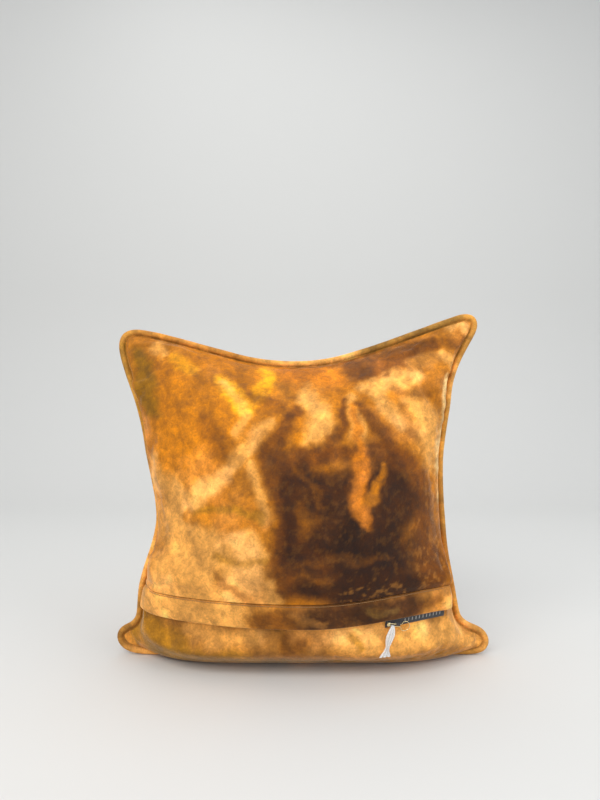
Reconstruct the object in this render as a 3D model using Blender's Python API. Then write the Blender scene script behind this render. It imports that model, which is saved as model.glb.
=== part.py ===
"""A piped velvet throw pillow that stands on its lower edge, zip side forward.

Row frame: +Z up, +X to the right of someone looking at the zip side, -Y towards that person.
The cover is three velvet panels, a folded flap and piping; a zip runs under the flap; a stuffed
insert fills the cover; a woven label, a bulb pin and a gauze ribbon hang at the flap's edge.
"""

import math

import bmesh
import bpy
import numpy as np

# Driving dimensions, in metres.
PIPING_R = 0.0040  # outside of the piping
CORD_R = 0.0022  # filler cord inside it
WRAP = 0.0010  # wall of the bias strip round the cord
FLANGE_END = 0.0062  # how far the strip's flanges reach in from the piping's middle
VELVET = 0.0016
TICKING = 0.0008
GAP = 0.0004
PANEL_INSET = 0.0056  # from the piping's middle to a panel's edge
PANEL_EDGE_T = 0.0030  # a panel's outer face stands this far off the seam plane at its edge
LEAN = 0.09  # the seam plane leans back by this much per unit of height
BODY_HALF_WIDTH = 0.2190  # the stuffed width, without the two lower ears
INSERT_HALF_WIDTH = 0.190
INSERT_MIDDLE = 0.190  # the height that the insert shrinks towards
INSERT_BASE = 0.0105
SHIFT = (0.003324, -0.01105, 0.0)

# The zip bends round an upright axis behind the pillow, on a slightly flared cone.
ZIP_RADIUS = 0.400
ZIP_FLARE = math.radians(10.3)
ZIP_HALF_TURN = math.radians(23.6)
FLAP_DEPTH = 0.031  # fold to stitch line
FLAP_EDGE_Z = 0.065
FLAP_END = 0.955  # share of the width at which the double fold stops
ARC_HALF_WIDTH = 0.172  # the panels lie exactly on the cone out to here
ZIP_S = 0.0166  # the zip's middle, measured up from the flap's fold
ZIP_N = -0.0115  # and in from the cover's face
COIL_W, COIL_T, COIL_GAP = 0.0022, 0.0022, 0.0016
SLIDER_L, SLIDER_W, PLATE = 0.0110, 0.0084, 0.0010
SLIDER_REST = math.radians(-22.6)
TAB_L, TAB_W, TAB_T = 0.0150, 0.0046, 0.0010

# The middle of the piping, zip side seen from the front: x and height. The first point of each
# edge is its corner.
BOTTOM = [(-0.2350, 0.0265), (-0.2335, 0.0175), (-0.2260, 0.0100), (-0.2120, 0.0056),
          (-0.1900, 0.0042), (-0.0900, 0.0042), (0.0, 0.0042), (0.0900, 0.0042),
          (0.1900, 0.0042), (0.2150, 0.0046)]
RIGHT = [(0.2300, 0.0080), (0.2345, 0.0160), (0.2315, 0.0260), (0.2225, 0.0325),
         (0.2095, 0.0370), (0.1990, 0.0455), (0.1947, 0.0620), (0.1915, 0.0820),
         (0.1865, 0.1100), (0.1825, 0.1350), (0.1800, 0.1700), (0.1780, 0.2150),
         (0.1790, 0.2550), (0.1835, 0.2870), (0.1890, 0.3180), (0.1925, 0.3450),
         (0.2050, 0.3800), (0.2195, 0.4060), (0.2270, 0.4220)]
TOP = [(0.2255, 0.4320), (0.2150, 0.4345), (0.1960, 0.4290), (0.1500, 0.4125),
       (0.0800, 0.3880), (0.0350, 0.3755), (-0.0050, 0.3715), (-0.0550, 0.3745),
       (-0.1200, 0.3900), (-0.1700, 0.4035), (-0.2050, 0.4115), (-0.2250, 0.4135)]
LEFT = [(-0.2355, 0.4095), (-0.2390, 0.3990), (-0.2360, 0.3800), (-0.2280, 0.3550),
        (-0.2160, 0.3220), (-0.2070, 0.2890), (-0.2010, 0.2560), (-0.1940, 0.2250),
        (-0.1880, 0.1950), (-0.1860, 0.1700), (-0.1910, 0.1420), (-0.2010, 0.1110),
        (-0.2075, 0.0850), (-0.2090, 0.0620), (-0.2110, 0.0450), (-0.2190, 0.0365),
        (-0.2290, 0.0335)]

# Side view of the stuffed cover at mid width: distance from the seam plane and height.
ZIP_SIDE = [(0.0030, 0.0088), (0.0062, 0.0030), (0.0120, 0.0), (0.0200, 0.0), (0.0300, 0.0030),
            (0.0450, 0.0118), (0.0610, 0.0205), (0.0765, 0.0325), (0.0850, 0.0475),
            (0.0888, 0.0650),
            (0.0948, 0.0980), (0.0995, 0.1400), (0.1000, 0.1850), (0.0945, 0.2350),
            (0.0810, 0.2820), (0.0600, 0.3220), (0.0345, 0.3500), (0.0150, 0.3630),
            (0.0030, 0.3669)]
PLAIN_SIDE = [(0.0030, 0.0088), (0.0062, 0.0030), (0.0120, 0.0), (0.0230, 0.0), (0.0340, 0.0),
              (0.0560, 0.0110), (0.0770, 0.0350), (0.0900, 0.0750), (0.0968, 0.1250),
              (0.0978, 0.1750), (0.0920, 0.2300), (0.0780, 0.2800), (0.0570, 0.3220),
              (0.0320, 0.3500), (0.0140, 0.3630), (0.0030, 0.3669)]

# How far the faces swell sideways over the side seams, by the row's height at mid width.
SWELL_HEIGHTS = [0.0, 0.040, 0.065, 0.100, 0.150, 0.330, 0.385]
SWELL_LEFT = [0.0, 0.0060, 0.0095, 0.0050, 0.0100, 0.0115, 0.0]
SWELL_RIGHT = [0.0040, 0.0060, 0.0050, 0.0020, 0.0055, 0.0070, 0.0]


# Curves ---------------------------------------------------------------------------------------


def arc_lengths(points):
    """Distance along a line of points, from 0 at its start."""
    steps = np.linalg.norm(np.diff(points, axis=0), axis=1)
    return np.concatenate([[0.0], np.cumsum(steps)])


def through(points, count, closed=False):
    """count points on a smooth curve through the given ones (Catmull-Rom on chord lengths)."""
    knots = np.array(points, float)
    if closed:
        knots = np.concatenate([knots[-2:], knots, knots[:3]])
    at = arc_lengths(knots)
    slope = np.gradient(knots, at, axis=0)
    low, high = (at[2], at[-3]) if closed else (at[0], at[-1])
    where = np.linspace(low, high, count, endpoint=not closed)
    i = np.clip(np.searchsorted(at, where, side="right") - 1, 0, len(at) - 2)
    span = (at[i + 1] - at[i])[:, None]
    t = (where[:, None] - at[i][:, None]) / span
    return (
        (2 * t**3 - 3 * t**2 + 1) * knots[i]
        + (t**3 - 2 * t**2 + t) * span * slope[i]
        + (3 * t**2 - 2 * t**3) * knots[i + 1]
        + (t**3 - t**2) * span * slope[i + 1]
    )


def smooth_step(t):
    t = np.clip(t, 0.0, 1.0)
    return t * t * (3 - 2 * t)


def outward_of(loop):
    """The unit normal that points out of a closed anticlockwise loop in the plane."""
    along = np.roll(loop, -1, axis=0) - np.roll(loop, 1, axis=0)
    along /= np.linalg.norm(along, axis=1)[:, None]
    return np.stack([along[:, 1], -along[:, 0]], axis=1)


def corner_numbers(loop):
    """Where the four edges start on the sampled loop."""
    starts = [BOTTOM[0], RIGHT[0], TOP[0], LEFT[0]]
    return [int(np.linalg.norm(loop - np.array(p), axis=1).argmin()) for p in starts]


def softened(loop, spread):
    """A closed loop with its tight corners eased, spread samples each way."""
    reach = np.arange(-3 * spread, 3 * spread + 1)
    weight = np.exp(-0.5 * (reach / spread) ** 2)
    weight /= weight.sum()
    eased = sum(part * np.roll(loop, -k, axis=0) for k, part in zip(reach, weight))
    return np.stack([eased[:, 0], np.maximum(eased[:, 1], BOTTOM[6][1])], axis=1)


SEAM = softened(through(BOTTOM + RIGHT + TOP + LEFT, 1200, closed=True), 4)
SEAM_OUT = outward_of(SEAM)
CORNERS = corner_numbers(SEAM)


class Outline:
    """The seam loop taken in by a distance, split into its four edges."""

    def __init__(self, inset):
        loop = SEAM - inset * SEAM_OUT
        a, b, c, d = CORNERS
        self.bottom = loop[a : b + 1]
        self.right = loop[b : c + 1]
        self.top = loop[c : d + 1][::-1]
        self.left = np.concatenate([loop[d:], loop[: a + 1]])[::-1]

    def height(self, edge, x):
        """Height of the top or bottom edge at x."""
        line = getattr(self, edge)
        return np.interp(x, line[:, 0], line[:, 1])

    def side(self, edge, w, marks):
        """Points of a side edge at the body's row positions w."""
        line = getattr(self, edge)
        share = arc_lengths(line)
        share /= share[-1]
        at_marks = [0.0]
        for height in (FLAP_EDGE_Z, FLAP_EDGE_Z + FLAP_DEPTH * math.cos(ZIP_FLARE)):
            lowest = int(line[:, 1].argmin())
            reach = lowest + int(np.argmax(line[lowest:, 1] >= height))
            at_marks.append(share[reach])
        at = np.interp(w, marks, at_marks + [1.0])
        return np.stack([np.interp(at, share, line[:, k]) for k in (0, 1)], axis=-1)


# The stuffed shape ----------------------------------------------------------------------------


class Face:
    """One stuffed face of the cover, as a surface of u across (-1 to 1) and w up (0 to 1)."""

    def __init__(self, profile, way):
        self.way = way  # -1 is the zip side, +1 the plain side
        self.profile = through(profile, 600)
        self.reach = arc_lengths(self.profile)
        self.length = self.reach[-1]
        self.reach /= self.length
        self.outline = Outline(PANEL_INSET)
        rows = np.argmax(self.profile[300:, 1] > 0.2) + 300
        rising = self.profile[150 : rows + 150]
        first = self.reach[150 : rows + 150]
        top = FLAP_EDGE_Z + FLAP_DEPTH * math.cos(ZIP_FLARE)
        self.flap_w = float(np.interp(FLAP_EDGE_Z, rising[:, 1], first))
        self.stitch_w = float(np.interp(top, rising[:, 1], first))
        self.marks = [0.0, self.flap_w, self.stitch_w, 1.0]

    def row(self, s):
        """The row position at a distance s up from the flap's fold."""
        return self.flap_w + np.asarray(s) / self.length

    def fullness(self, x, edge, middle):
        """Share of the middle's thickness that is left at x; squarer low down."""
        rise = smooth_step((middle - 0.080) / 0.090)
        half = edge + (1 - rise) * (np.minimum(edge, BODY_HALF_WIDTH) - edge)
        share = np.clip(np.abs(x) / half, 0.0, 1.0)
        square = np.interp(middle, [0.045, 0.062, 0.100, 0.170], [4.0, 2.3, 2.2, 2.6])
        return (1 - share**square) ** 0.61

    def swell(self, u, middle):
        """How far out the face stands beyond its straight share of the width."""
        most = np.where(u < 0, -np.interp(middle, SWELL_HEIGHTS, SWELL_LEFT),
                        np.interp(middle, SWELL_HEIGHTS, SWELL_RIGHT))
        in_from_edge = 1 - np.abs(u)
        return most * smooth_step(in_from_edge / 0.05) * (
            1 - smooth_step((in_from_edge - 0.05) / 0.17))

    def point(self, u, w):
        """Places on the outer face, for arrays u and w of one shape."""
        u, w = np.broadcast_arrays(np.asarray(u, float), np.asarray(w, float))
        left = self.outline.side("left", w, self.marks)
        right = self.outline.side("right", w, self.marks)
        x = left[..., 0] + (right[..., 0] - left[..., 0]) * (u + 1) / 2
        thick = np.interp(w, self.reach, self.profile[:, 0]) - PANEL_EDGE_T
        middle = np.interp(w, self.reach, self.profile[:, 1])
        upper = np.clip((w - self.stitch_w) / (1 - self.stitch_w), 0.0, 1.0) ** 1.6
        lower = np.clip(1 - w / 0.16, 0.0, 1.0) ** 2

        def height(at_x):
            top = self.outline.height("top", at_x) - self.outline.height("top", 0.0)
            low = self.outline.height("bottom", at_x) - self.outline.height("bottom", 0.0)
            return middle + upper * top + lower * low

        z = height(x)
        z += np.clip(-u, 0, 1) ** 7 * (left[..., 1] - height(left[..., 0]))
        z += np.clip(u, 0, 1) ** 7 * (right[..., 1] - height(right[..., 0]))
        edge = np.where(x < 0, -left[..., 0], right[..., 0])
        y = LEAN * z + self.way * (PANEL_EDGE_T + thick * self.fullness(x, edge, middle))
        in_from_edge = edge - np.abs(x)
        x = x + self.swell(u, middle)
        if self.way < 0:
            y = self.onto_cone(x, y, z, w, edge, in_from_edge)
        return np.stack([x, y, np.maximum(z, 0.0)], axis=-1)

    def onto_cone(self, x, y, z, w, edge, in_from_edge):
        """Brings the face round the zip onto the cone, and fades out of it above and below."""
        radius = ZIP_RADIUS + (z - FLAP_EDGE_Z) * math.tan(ZIP_FLARE)
        cone = ZIP_AXIS_Y - np.sqrt(np.maximum(radius**2 - x**2, 0.0))
        below = smooth_step((w - self.flap_w + 0.11) / 0.09)
        above = smooth_step((self.stitch_w + 0.13 - w) / 0.10)
        inside = smooth_step(in_from_edge / np.maximum(edge - ARC_HALF_WIDTH, 1e-6))
        share = below * above * inside
        return y + share * (cone - y)

    def normal(self, u, w):
        """Unit normal out of the cover."""
        step = 0.012
        low, high = np.clip(u - step, -1, 1), np.clip(u + step, -1, 1)
        across = self.point(high, w) - self.point(low, w)
        low, high = np.clip(w - step, 0, 1), np.clip(w + step, 0, 1)
        up = self.point(u, high) - self.point(u, low)
        out = np.cross(up, across) * self.way
        return out / np.maximum(np.linalg.norm(out, axis=-1), 1e-12)[..., None]

    def place(self, u, w, n=0.0):
        """Places at a distance n off the outer face; negative is into the pillow."""
        n = np.broadcast_to(np.asarray(n, float), np.broadcast(u, w).shape)
        return self.point(u, w) + n[..., None] * self.normal(u, w)


ZIP_AXIS_Y = LEAN * FLAP_EDGE_Z - 0.0888 + ZIP_RADIUS
ZIP_FACE = Face(ZIP_SIDE, -1)
PLAIN_FACE = Face(PLAIN_SIDE, +1)


def on_cone(turn, s, n):
    """A place beside the zip: turn round its upright axis, s up the cone, n out from it."""
    turn, s, n = np.broadcast_arrays(turn, s, n)
    radius = ZIP_RADIUS + s * math.sin(ZIP_FLARE) + n * math.cos(ZIP_FLARE)
    z = FLAP_EDGE_Z + s * math.cos(ZIP_FLARE) - n * math.sin(ZIP_FLARE)
    return np.stack([radius * np.sin(turn), ZIP_AXIS_Y - radius * np.cos(turn), z], axis=-1)


def spaced(count, crowd=0.6):
    """count values from -1 to 1, closer together towards both ends."""
    even = np.linspace(-1, 1, count)
    return (1 - crowd) * even + crowd * np.sin(even * math.pi / 2)


COLUMNS = spaced(22)
INSERT_COLUMNS = spaced(12)
BAND_HALF_WIDTH = 0.201  # half the width between the side seams at the flap
LOWER_TOP = 0.0110  # the lower panel's upper edge, up from the flap's fold
UPPER_FROM = FLAP_DEPTH + 0.0012  # the upper panel's lower edge


def band_rise(x):
    """How far the flap and its stitches rise along the face towards the two sides, at x."""
    return 0.0095 * smooth_step((x - 0.020) / 0.150) + 0.0040 * smooth_step((-x - 0.165) / 0.04)


def lower_panel_depth(s):
    """How deep the lower panel lies below the cover's face, s up from the flap's fold."""
    under_flap = 0.0054 + 0.0040 * smooth_step((s + 0.002) / 0.011)
    return -under_flap * smooth_step((s + 0.055) / 0.045)


# Meshes ---------------------------------------------------------------------------------------


def material(name, color, roughness, metallic=0.0):
    made = bpy.data.materials.new(name)
    made.use_nodes = True
    shader = made.node_tree.nodes["Principled BSDF"]
    shader.inputs["Base Color"].default_value = (*color, 1.0)
    shader.inputs["Roughness"].default_value = roughness
    shader.inputs["Metallic"].default_value = metallic
    return made


def add(name, points, faces, finish, smooth=True):
    """A closed body as one named object, its faces turned outwards."""
    mesh = bpy.data.meshes.new(name)
    mesh.from_pydata([tuple(p) for p in points], [], faces)
    body = bmesh.new()
    body.from_mesh(mesh)
    bmesh.ops.recalc_face_normals(body, faces=body.faces)
    body.to_mesh(mesh)
    body.free()
    if smooth:
        mesh.shade_smooth()
        mesh.set_sharp_from_angle(angle=math.radians(40))
    mesh.materials.append(finish)
    obj = bpy.data.objects.new(name, mesh)
    bpy.context.scene.collection.objects.link(obj)
    obj.parent = ROOT
    return obj


def between(name, outer, inner, finish):
    """The solid between two grids of points, closed round its rim."""
    rows, columns = outer.shape[:2]
    points = np.concatenate([outer.reshape(-1, 3), inner.reshape(-1, 3)])
    number = np.arange(rows * columns).reshape(rows, columns)
    far = number + rows * columns
    faces = []
    for i in range(rows - 1):
        for j in range(columns - 1):
            a, b, c, d = number[i, j], number[i, j + 1], number[i + 1, j + 1], number[i + 1, j]
            faces += [(a, b, c), (a, c, d)]
            a, b, c, d = (int(far.flat[k]) for k in (a, b, c, d))
            faces += [(c, b, a), (d, c, a)]
    rim = list(number[0, :-1]) + list(number[:-1, -1])
    rim += list(number[-1, :0:-1]) + list(number[:0:-1, 0])
    for a, b in zip(rim, rim[1:] + rim[:1]):
        faces.append((b, a, far.flat[a], far.flat[b]))
    return add(name, points, faces, finish)


def between_faces(name, near, far, finish):
    """The solid between two grids whose rows differ in number: both closed by their rims."""
    count = 1 + max(len(near), len(far))
    even = [
        np.stack([
            np.stack([np.interp(np.linspace(0, len(grid) - 1, count), np.arange(len(grid)),
                                grid[:, j, k]) for k in range(3)], axis=-1)
            for j in range(grid.shape[1])
        ], axis=1)
        for grid in (near, far)
    ]
    return between(name, *even, finish)


def swept(name, rings, finish, closed=False, smooth=True):
    """A solid through rings of points: joined end to start, or with flat ends."""
    count, around = rings.shape[:2]
    faces = []
    for i in range(count if closed else count - 1):
        first, second = i * around, (i + 1) % count * around
        for j in range(around):
            k = (j + 1) % around
            faces.append((first + j, first + k, second + k, second + j))
    if not closed:
        faces.append(tuple(range(around)))
        faces.append(tuple(range((count - 1) * around, count * around))[::-1])
    return add(name, rings.reshape(-1, 3), faces, finish, smooth)


def tube_rings(line, radius, sides, closed=False):
    """Rings round a line of points, without twist."""
    line = np.asarray(line, float)
    if closed:
        along = np.roll(line, -1, axis=0) - np.roll(line, 1, axis=0)
    else:
        along = np.gradient(line, axis=0)
    along /= np.linalg.norm(along, axis=1)[:, None]
    helper = np.array([0.0, 1.0, 0.0]) if abs(along[0, 1]) < 0.9 else np.array([1.0, 0.0, 0.0])
    rings, side = [], np.cross(along[0], helper)
    for place, forward in zip(line, along):
        side = side - forward * (side @ forward)
        side /= np.linalg.norm(side)
        up = np.cross(forward, side)
        turns = np.arange(sides) * 2 * math.pi / sides
        rings.append([place + radius * (math.cos(t) * side + math.sin(t) * up) for t in turns])
    return np.array(rings)


def cut(obj, cutter):
    """Takes a hidden cutter out of an object."""
    cutter.hide_render = True
    cutter.display_type = "WIRE"
    step = obj.modifiers.new("cut_" + cutter.name, "BOOLEAN")
    step.operation = "DIFFERENCE"
    step.solver = "EXACT"
    step.object = cutter


# Cover ----------------------------------------------------------------------------------------


def lower_rows():
    """Rows of the zip side from the base to the lower panel's upper edge."""
    return np.concatenate([
        np.linspace(0, 0.10, 7), [0.128, 0.152], ZIP_FACE.row(np.array([-0.008, 0.0, 0.006])),
        [ZIP_FACE.row(LOWER_TOP)],
    ])


def upper_rows():
    """Rows of the zip side above the flap's stitches."""
    first = ZIP_FACE.row(UPPER_FROM)
    return first + (1 - first) * (spaced(14, 0.7) + 1) / 2


def upper_from_stitches(u, w):
    """Moves the upper panel's rows so that the first one follows the flap's stitches."""
    first = ZIP_FACE.row(UPPER_FROM)
    rise = band_rise(u * BAND_HALF_WIDTH) / ZIP_FACE.length
    return w + rise * (1 - w) / (1 - first)


def plain_rows():
    return np.concatenate([
        np.linspace(0, 0.10, 7), [0.128, 0.160], 0.2 + 0.8 * (spaced(12, 0.7) + 1) / 2,
    ])


def lower_panel_place(u, w, n):
    """The lower panel tucks under the flap, and reaches up beside it at the side seams."""
    s = (w - ZIP_FACE.flap_w) * ZIP_FACE.length
    rise = band_rise(u * BAND_HALF_WIDTH)
    near_top = smooth_step((s + 0.010) / 0.021)
    beside = smooth_step((np.abs(u) - 0.93) / 0.04) * near_top
    up = beside * (UPPER_FROM + rise - LOWER_TOP - 0.0016) + (1 - beside) * near_top * rise * 0.15
    depth = lower_panel_depth(s - rise) * smooth_step((1 - np.abs(u)) / 0.05)
    return ZIP_FACE.place(u, w + up / ZIP_FACE.length, depth + n)


def make_panels(velvet):
    u, w = np.meshgrid(COLUMNS, upper_rows())
    w = upper_from_stitches(u, w)
    between("back_panel_upper", ZIP_FACE.place(u, w), ZIP_FACE.place(u, w, -VELVET), velvet)
    u, w = np.meshgrid(COLUMNS, lower_rows())
    sides = [lower_panel_place(u, w, n) for n in (0.0, -VELVET)]
    between("back_panel_lower", *sides, velvet)
    u, w = np.meshgrid(COLUMNS, plain_rows())
    between("front_panel", PLAIN_FACE.place(u, w), PLAIN_FACE.place(u, w, -VELVET), velvet)


def make_flap(velvet, thread):
    """A strip folded double at its lower edge, and the row of stitches along its top."""
    half = VELVET / 2
    turn_r = VELVET + 0.00025
    fold = [(turn_r - turn_r * math.sin(a), -turn_r + turn_r * math.cos(a))
            for a in np.linspace(0, math.pi, 6)]
    inner_r = turn_r - VELVET
    hollow = [(turn_r - inner_r * math.sin(a), -turn_r - inner_r * math.cos(a))
              for a in np.linspace(0, math.pi, 3)]
    section = [(FLAP_DEPTH, 0.0), (FLAP_DEPTH / 2, 0.0), *fold, (FLAP_DEPTH / 2, -2 * turn_r),
               (FLAP_DEPTH - 0.002, -2 * turn_r), (FLAP_DEPTH - 0.002, -2 * turn_r + VELVET),
               *hollow, (FLAP_DEPTH, -2 * half)]
    s, n = np.array(section).T
    across = FLAP_END * COLUMNS[:, None]
    raised = s[None, :] + band_rise(across * BAND_HALF_WIDTH)
    rings = ZIP_FACE.place(across, ZIP_FACE.row(raised), n[None, :])
    swept("zip_flap", rings, velvet)
    run = np.linspace(-1, 1, 44) * (FLAP_END - 0.05)
    raised = FLAP_DEPTH - 0.0015 + band_rise(run * BAND_HALF_WIDTH)
    line = ZIP_FACE.place(run, ZIP_FACE.row(raised), 0.0009)
    swept("flap_topstitch", tube_rings(line, 0.00035, 4), thread)


def seam_stations():
    """Sample numbers round the seam loop, closer together where it turns."""
    along = np.roll(SEAM, -1, axis=0) - SEAM
    length = np.linalg.norm(along, axis=1)
    heading = np.unwrap(np.arctan2(along[:, 1], along[:, 0]))
    turning = np.abs(np.gradient(heading))
    need = np.cumsum(length / 0.034 + 3.0 * turning)
    count = int(need[-1])
    return np.searchsorted(need, np.arange(count) * need[-1] / count)


def seam_frames():
    """Places round the piping with their outward direction in the seam plane."""
    which = seam_stations()
    flat, out = SEAM[which], SEAM_OUT[which]
    places = np.stack([flat[:, 0], LEAN * flat[:, 1], flat[:, 1]], axis=1)
    outward = np.stack([out[:, 0], LEAN * out[:, 1], out[:, 1]], axis=1)
    outward /= np.linalg.norm(outward, axis=1)[:, None]
    return places, outward


def make_piping(velvet, cotton):
    """A bias strip wrapped round a filler cord, its two flanges pointing into the seam."""
    seam_plane = np.array([0.0, -1.0, LEAN])
    seam_plane /= np.linalg.norm(seam_plane)
    inner_r = PIPING_R - WRAP
    lip = 0.0002
    flange = WRAP - lip / 2
    outer = [(PIPING_R * math.cos(a), PIPING_R * math.sin(a))
             for a in np.radians(np.linspace(166, -166, 8))]
    inside = [(inner_r * math.cos(a), inner_r * math.sin(a))
              for a in np.radians(np.linspace(-176, 176, 6))]
    section = [(-FLANGE_END, flange), *outer, (-FLANGE_END, -flange), (-FLANGE_END, -lip),
               *inside, (-FLANGE_END, lip)]
    places, outward = seam_frames()
    rings = np.array([
        [p + a * o + b * seam_plane for a, b in section] for p, o in zip(places, outward)
    ])
    swept("piping_cover", rings, velvet, closed=True)
    turns = np.arange(6) * math.pi / 3
    rings = np.array([
        [p + CORD_R * (math.cos(t) * o + math.sin(t) * seam_plane) for t in turns]
        for p, o in zip(places, outward)
    ])
    swept("piping_cord", rings, cotton, closed=True)


# Insert ---------------------------------------------------------------------------------------


def room_for_zip(s):
    """How far the insert draws back from the cover's face, s up from the flap's fold."""
    under = -lower_panel_depth(np.minimum(s, 0.0)) + 0.0090 * smooth_step((s + 0.006) / 0.008)
    return under * (1 - smooth_step((s - FLAP_DEPTH - 0.001) / 0.028))


def insert_grid(face, rows, columns, shrink, rim_t):
    """The insert's surface: the cover's, shrunk towards its middle, clear of the ears and zip."""
    u, w = np.meshgrid(columns, rows)
    edge = np.maximum(-face.outline.side("left", w, face.marks)[..., 0],
                      face.outline.side("right", w, face.marks)[..., 0])
    low = smooth_step((0.26 - w) / 0.10)
    u = u * (1 - low * (1 - np.minimum(1.0, INSERT_HALF_WIDTH / edge)))
    x, y, z = np.moveaxis(face.point(u, w), -1, 0)
    thick = face.way * (y - LEAN * z) - PANEL_EDGE_T
    thick = thick * (1 - 1.2 * shrink)
    if face.way < 0:
        room = room_for_zip((w - face.flap_w) * face.length)
        thick = thick - room * smooth_step(thick / 0.030)
    x = x * (1 - shrink)
    z = INSERT_MIDDLE + (np.maximum(z, INSERT_BASE) - INSERT_MIDDLE) * (1 - shrink)
    return np.stack([x, LEAN * z + face.way * (rim_t + thick), z], axis=-1)


def make_insert(ticking, stuffing):
    """Two ticking faces round one body of loose fill."""
    zip_rows = np.concatenate([
        lower_rows(), ZIP_FACE.row(np.array([0.0170, 0.0240])), upper_rows(),
    ])
    fill = []
    for name, face, rows in (("insert_casing_back", ZIP_FACE, zip_rows),
                             ("insert_casing_front", PLAIN_FACE, plain_rows())):
        outer = insert_grid(face, rows, INSERT_COLUMNS, 0.040, GAP + TICKING)
        inner = insert_grid(face, rows, INSERT_COLUMNS, 0.044, GAP)
        between(name, outer, inner, ticking)
        fill.append(insert_grid(face, rows[1:-1], INSERT_COLUMNS[1:-1], 0.085, GAP / 2))
    between_faces("insert_filling", *fill, stuffing)


# Zip ------------------------------------------------------------------------------------------


def zip_strip(name, section, turns, finish):
    """A strip of constant section that runs round the zip's axis."""
    s, n = np.array(section).T
    rings = on_cone(turns[:, None], s[None, :], n[None, :])
    return swept(name, rings, finish)


def make_tapes(tape_finish, coil_finish):
    half = 0.00025
    turns = np.linspace(-ZIP_HALF_TURN, ZIP_HALF_TURN, 25)
    coil_end = COIL_GAP / 2 + COIL_W
    low, high = ZIP_S - coil_end - 0.0003, ZIP_S + coil_end + 0.0003
    lower = [(0.0025, ZIP_N - half), (low, ZIP_N - half), (low, ZIP_N + half),
             (0.0025, ZIP_N + half)]
    rise = [(high, ZIP_N), (high + 0.004, ZIP_N), (high + 0.0075, ZIP_N + 0.0035),
            (FLAP_DEPTH - 0.0015, -0.0048)]
    upper = [(s, n - half) for s, n in rise] + [(s, n + half) for s, n in reversed(rise)]
    zip_strip("zipper_tape_lower", lower, turns, tape_finish)
    zip_strip("zipper_tape_upper", upper, turns, tape_finish)
    coil_turns = np.linspace(-ZIP_HALF_TURN, ZIP_HALF_TURN, 33)
    around = np.arange(6) * math.pi / 3
    for name, way in (("zipper_coil_lower", -1), ("zipper_coil_upper", +1)):
        middle = ZIP_S + way * (COIL_GAP + COIL_W) / 2
        section = [(middle + COIL_W / 2 * math.cos(a), ZIP_N + COIL_T / 2 * math.sin(a))
                   for a in around]
        zip_strip(name, section, coil_turns, coil_finish)


def make_stops(metal):
    """The bar that each end of the zip runs against."""
    wide = COIL_GAP / 2 + COIL_W + 0.0008
    box = [(ZIP_S - wide + 0.0003, ZIP_N - 0.0014), (ZIP_S + wide - 0.0003, ZIP_N - 0.0014),
           (ZIP_S + wide - 0.0003, ZIP_N + 0.0014), (ZIP_S - wide + 0.0003, ZIP_N + 0.0014)]
    start = ZIP_HALF_TURN + 0.0004 / ZIP_RADIUS
    for name, way in (("zipper_top_stop", -1), ("zipper_bottom_stop", +1)):
        turns = way * np.array([start, start + 0.0022 / ZIP_RADIUS])
        zip_strip(name, box, turns, metal)


def make_slider(metal):
    """Two plates joined by the post between the coils, with a bridge on top for the pull."""
    top_in = ZIP_N + COIL_T / 2 + 0.0005
    top_out = top_in + PLATE
    low_in = ZIP_N - COIL_T / 2 - 0.0003
    low_out = low_in - PLATE
    post = 0.0005
    lip = 0.0006
    stations = np.linspace(-0.5, 0.5, 7) * SLIDER_L
    rings = []
    for along in stations:
        taper = 1 - 0.22 * smooth_step((along / SLIDER_L + 0.5) * 1.2)
        wide = SLIDER_W / 2 * taper
        section = [(-wide, low_out), (wide, low_out), (wide, low_in + lip * 0.5),
                   (wide - lip, low_in), (post, low_in), (post, top_in), (wide - lip, top_in),
                   (wide, top_in - lip * 0.5), (wide, top_out), (-wide, top_out),
                   (-wide, top_in - lip * 0.5), (-wide + lip, top_in), (-post, top_in),
                   (-post, low_in), (-wide + lip, low_in), (-wide, low_in + lip * 0.5)]
        s, n = np.array(section).T
        rings.append(on_cone(SLIDER_REST + along / ZIP_RADIUS, ZIP_S + s, n))
    slider = swept("zipper_slider", np.array(rings), metal, smooth=False)
    foot = top_out - 0.0004
    arch = [(-0.0030, foot), (-0.0027, top_out + 0.0020), (-0.0016, top_out + 0.0027),
            (0.0016, top_out + 0.0027), (0.0027, top_out + 0.0020), (0.0030, foot),
            (0.0021, foot), (0.0019, top_out + 0.0016), (0.0012, top_out + 0.0020),
            (-0.0012, top_out + 0.0020), (-0.0019, top_out + 0.0016), (-0.0021, foot)]
    along, n = np.array(arch).T
    sides = [on_cone(SLIDER_REST + along / ZIP_RADIUS, ZIP_S + across, n)
             for across in (-0.0006, 0.0006)]
    bridge = swept("slider_bridge", np.array(sides), metal, smooth=False)
    bridge.hide_render = True
    bridge.display_type = "WIRE"
    join = slider.modifiers.new("bridge", "BOOLEAN")
    join.operation = "UNION"
    join.solver = "EXACT"
    join.object = bridge
    return top_out


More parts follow.
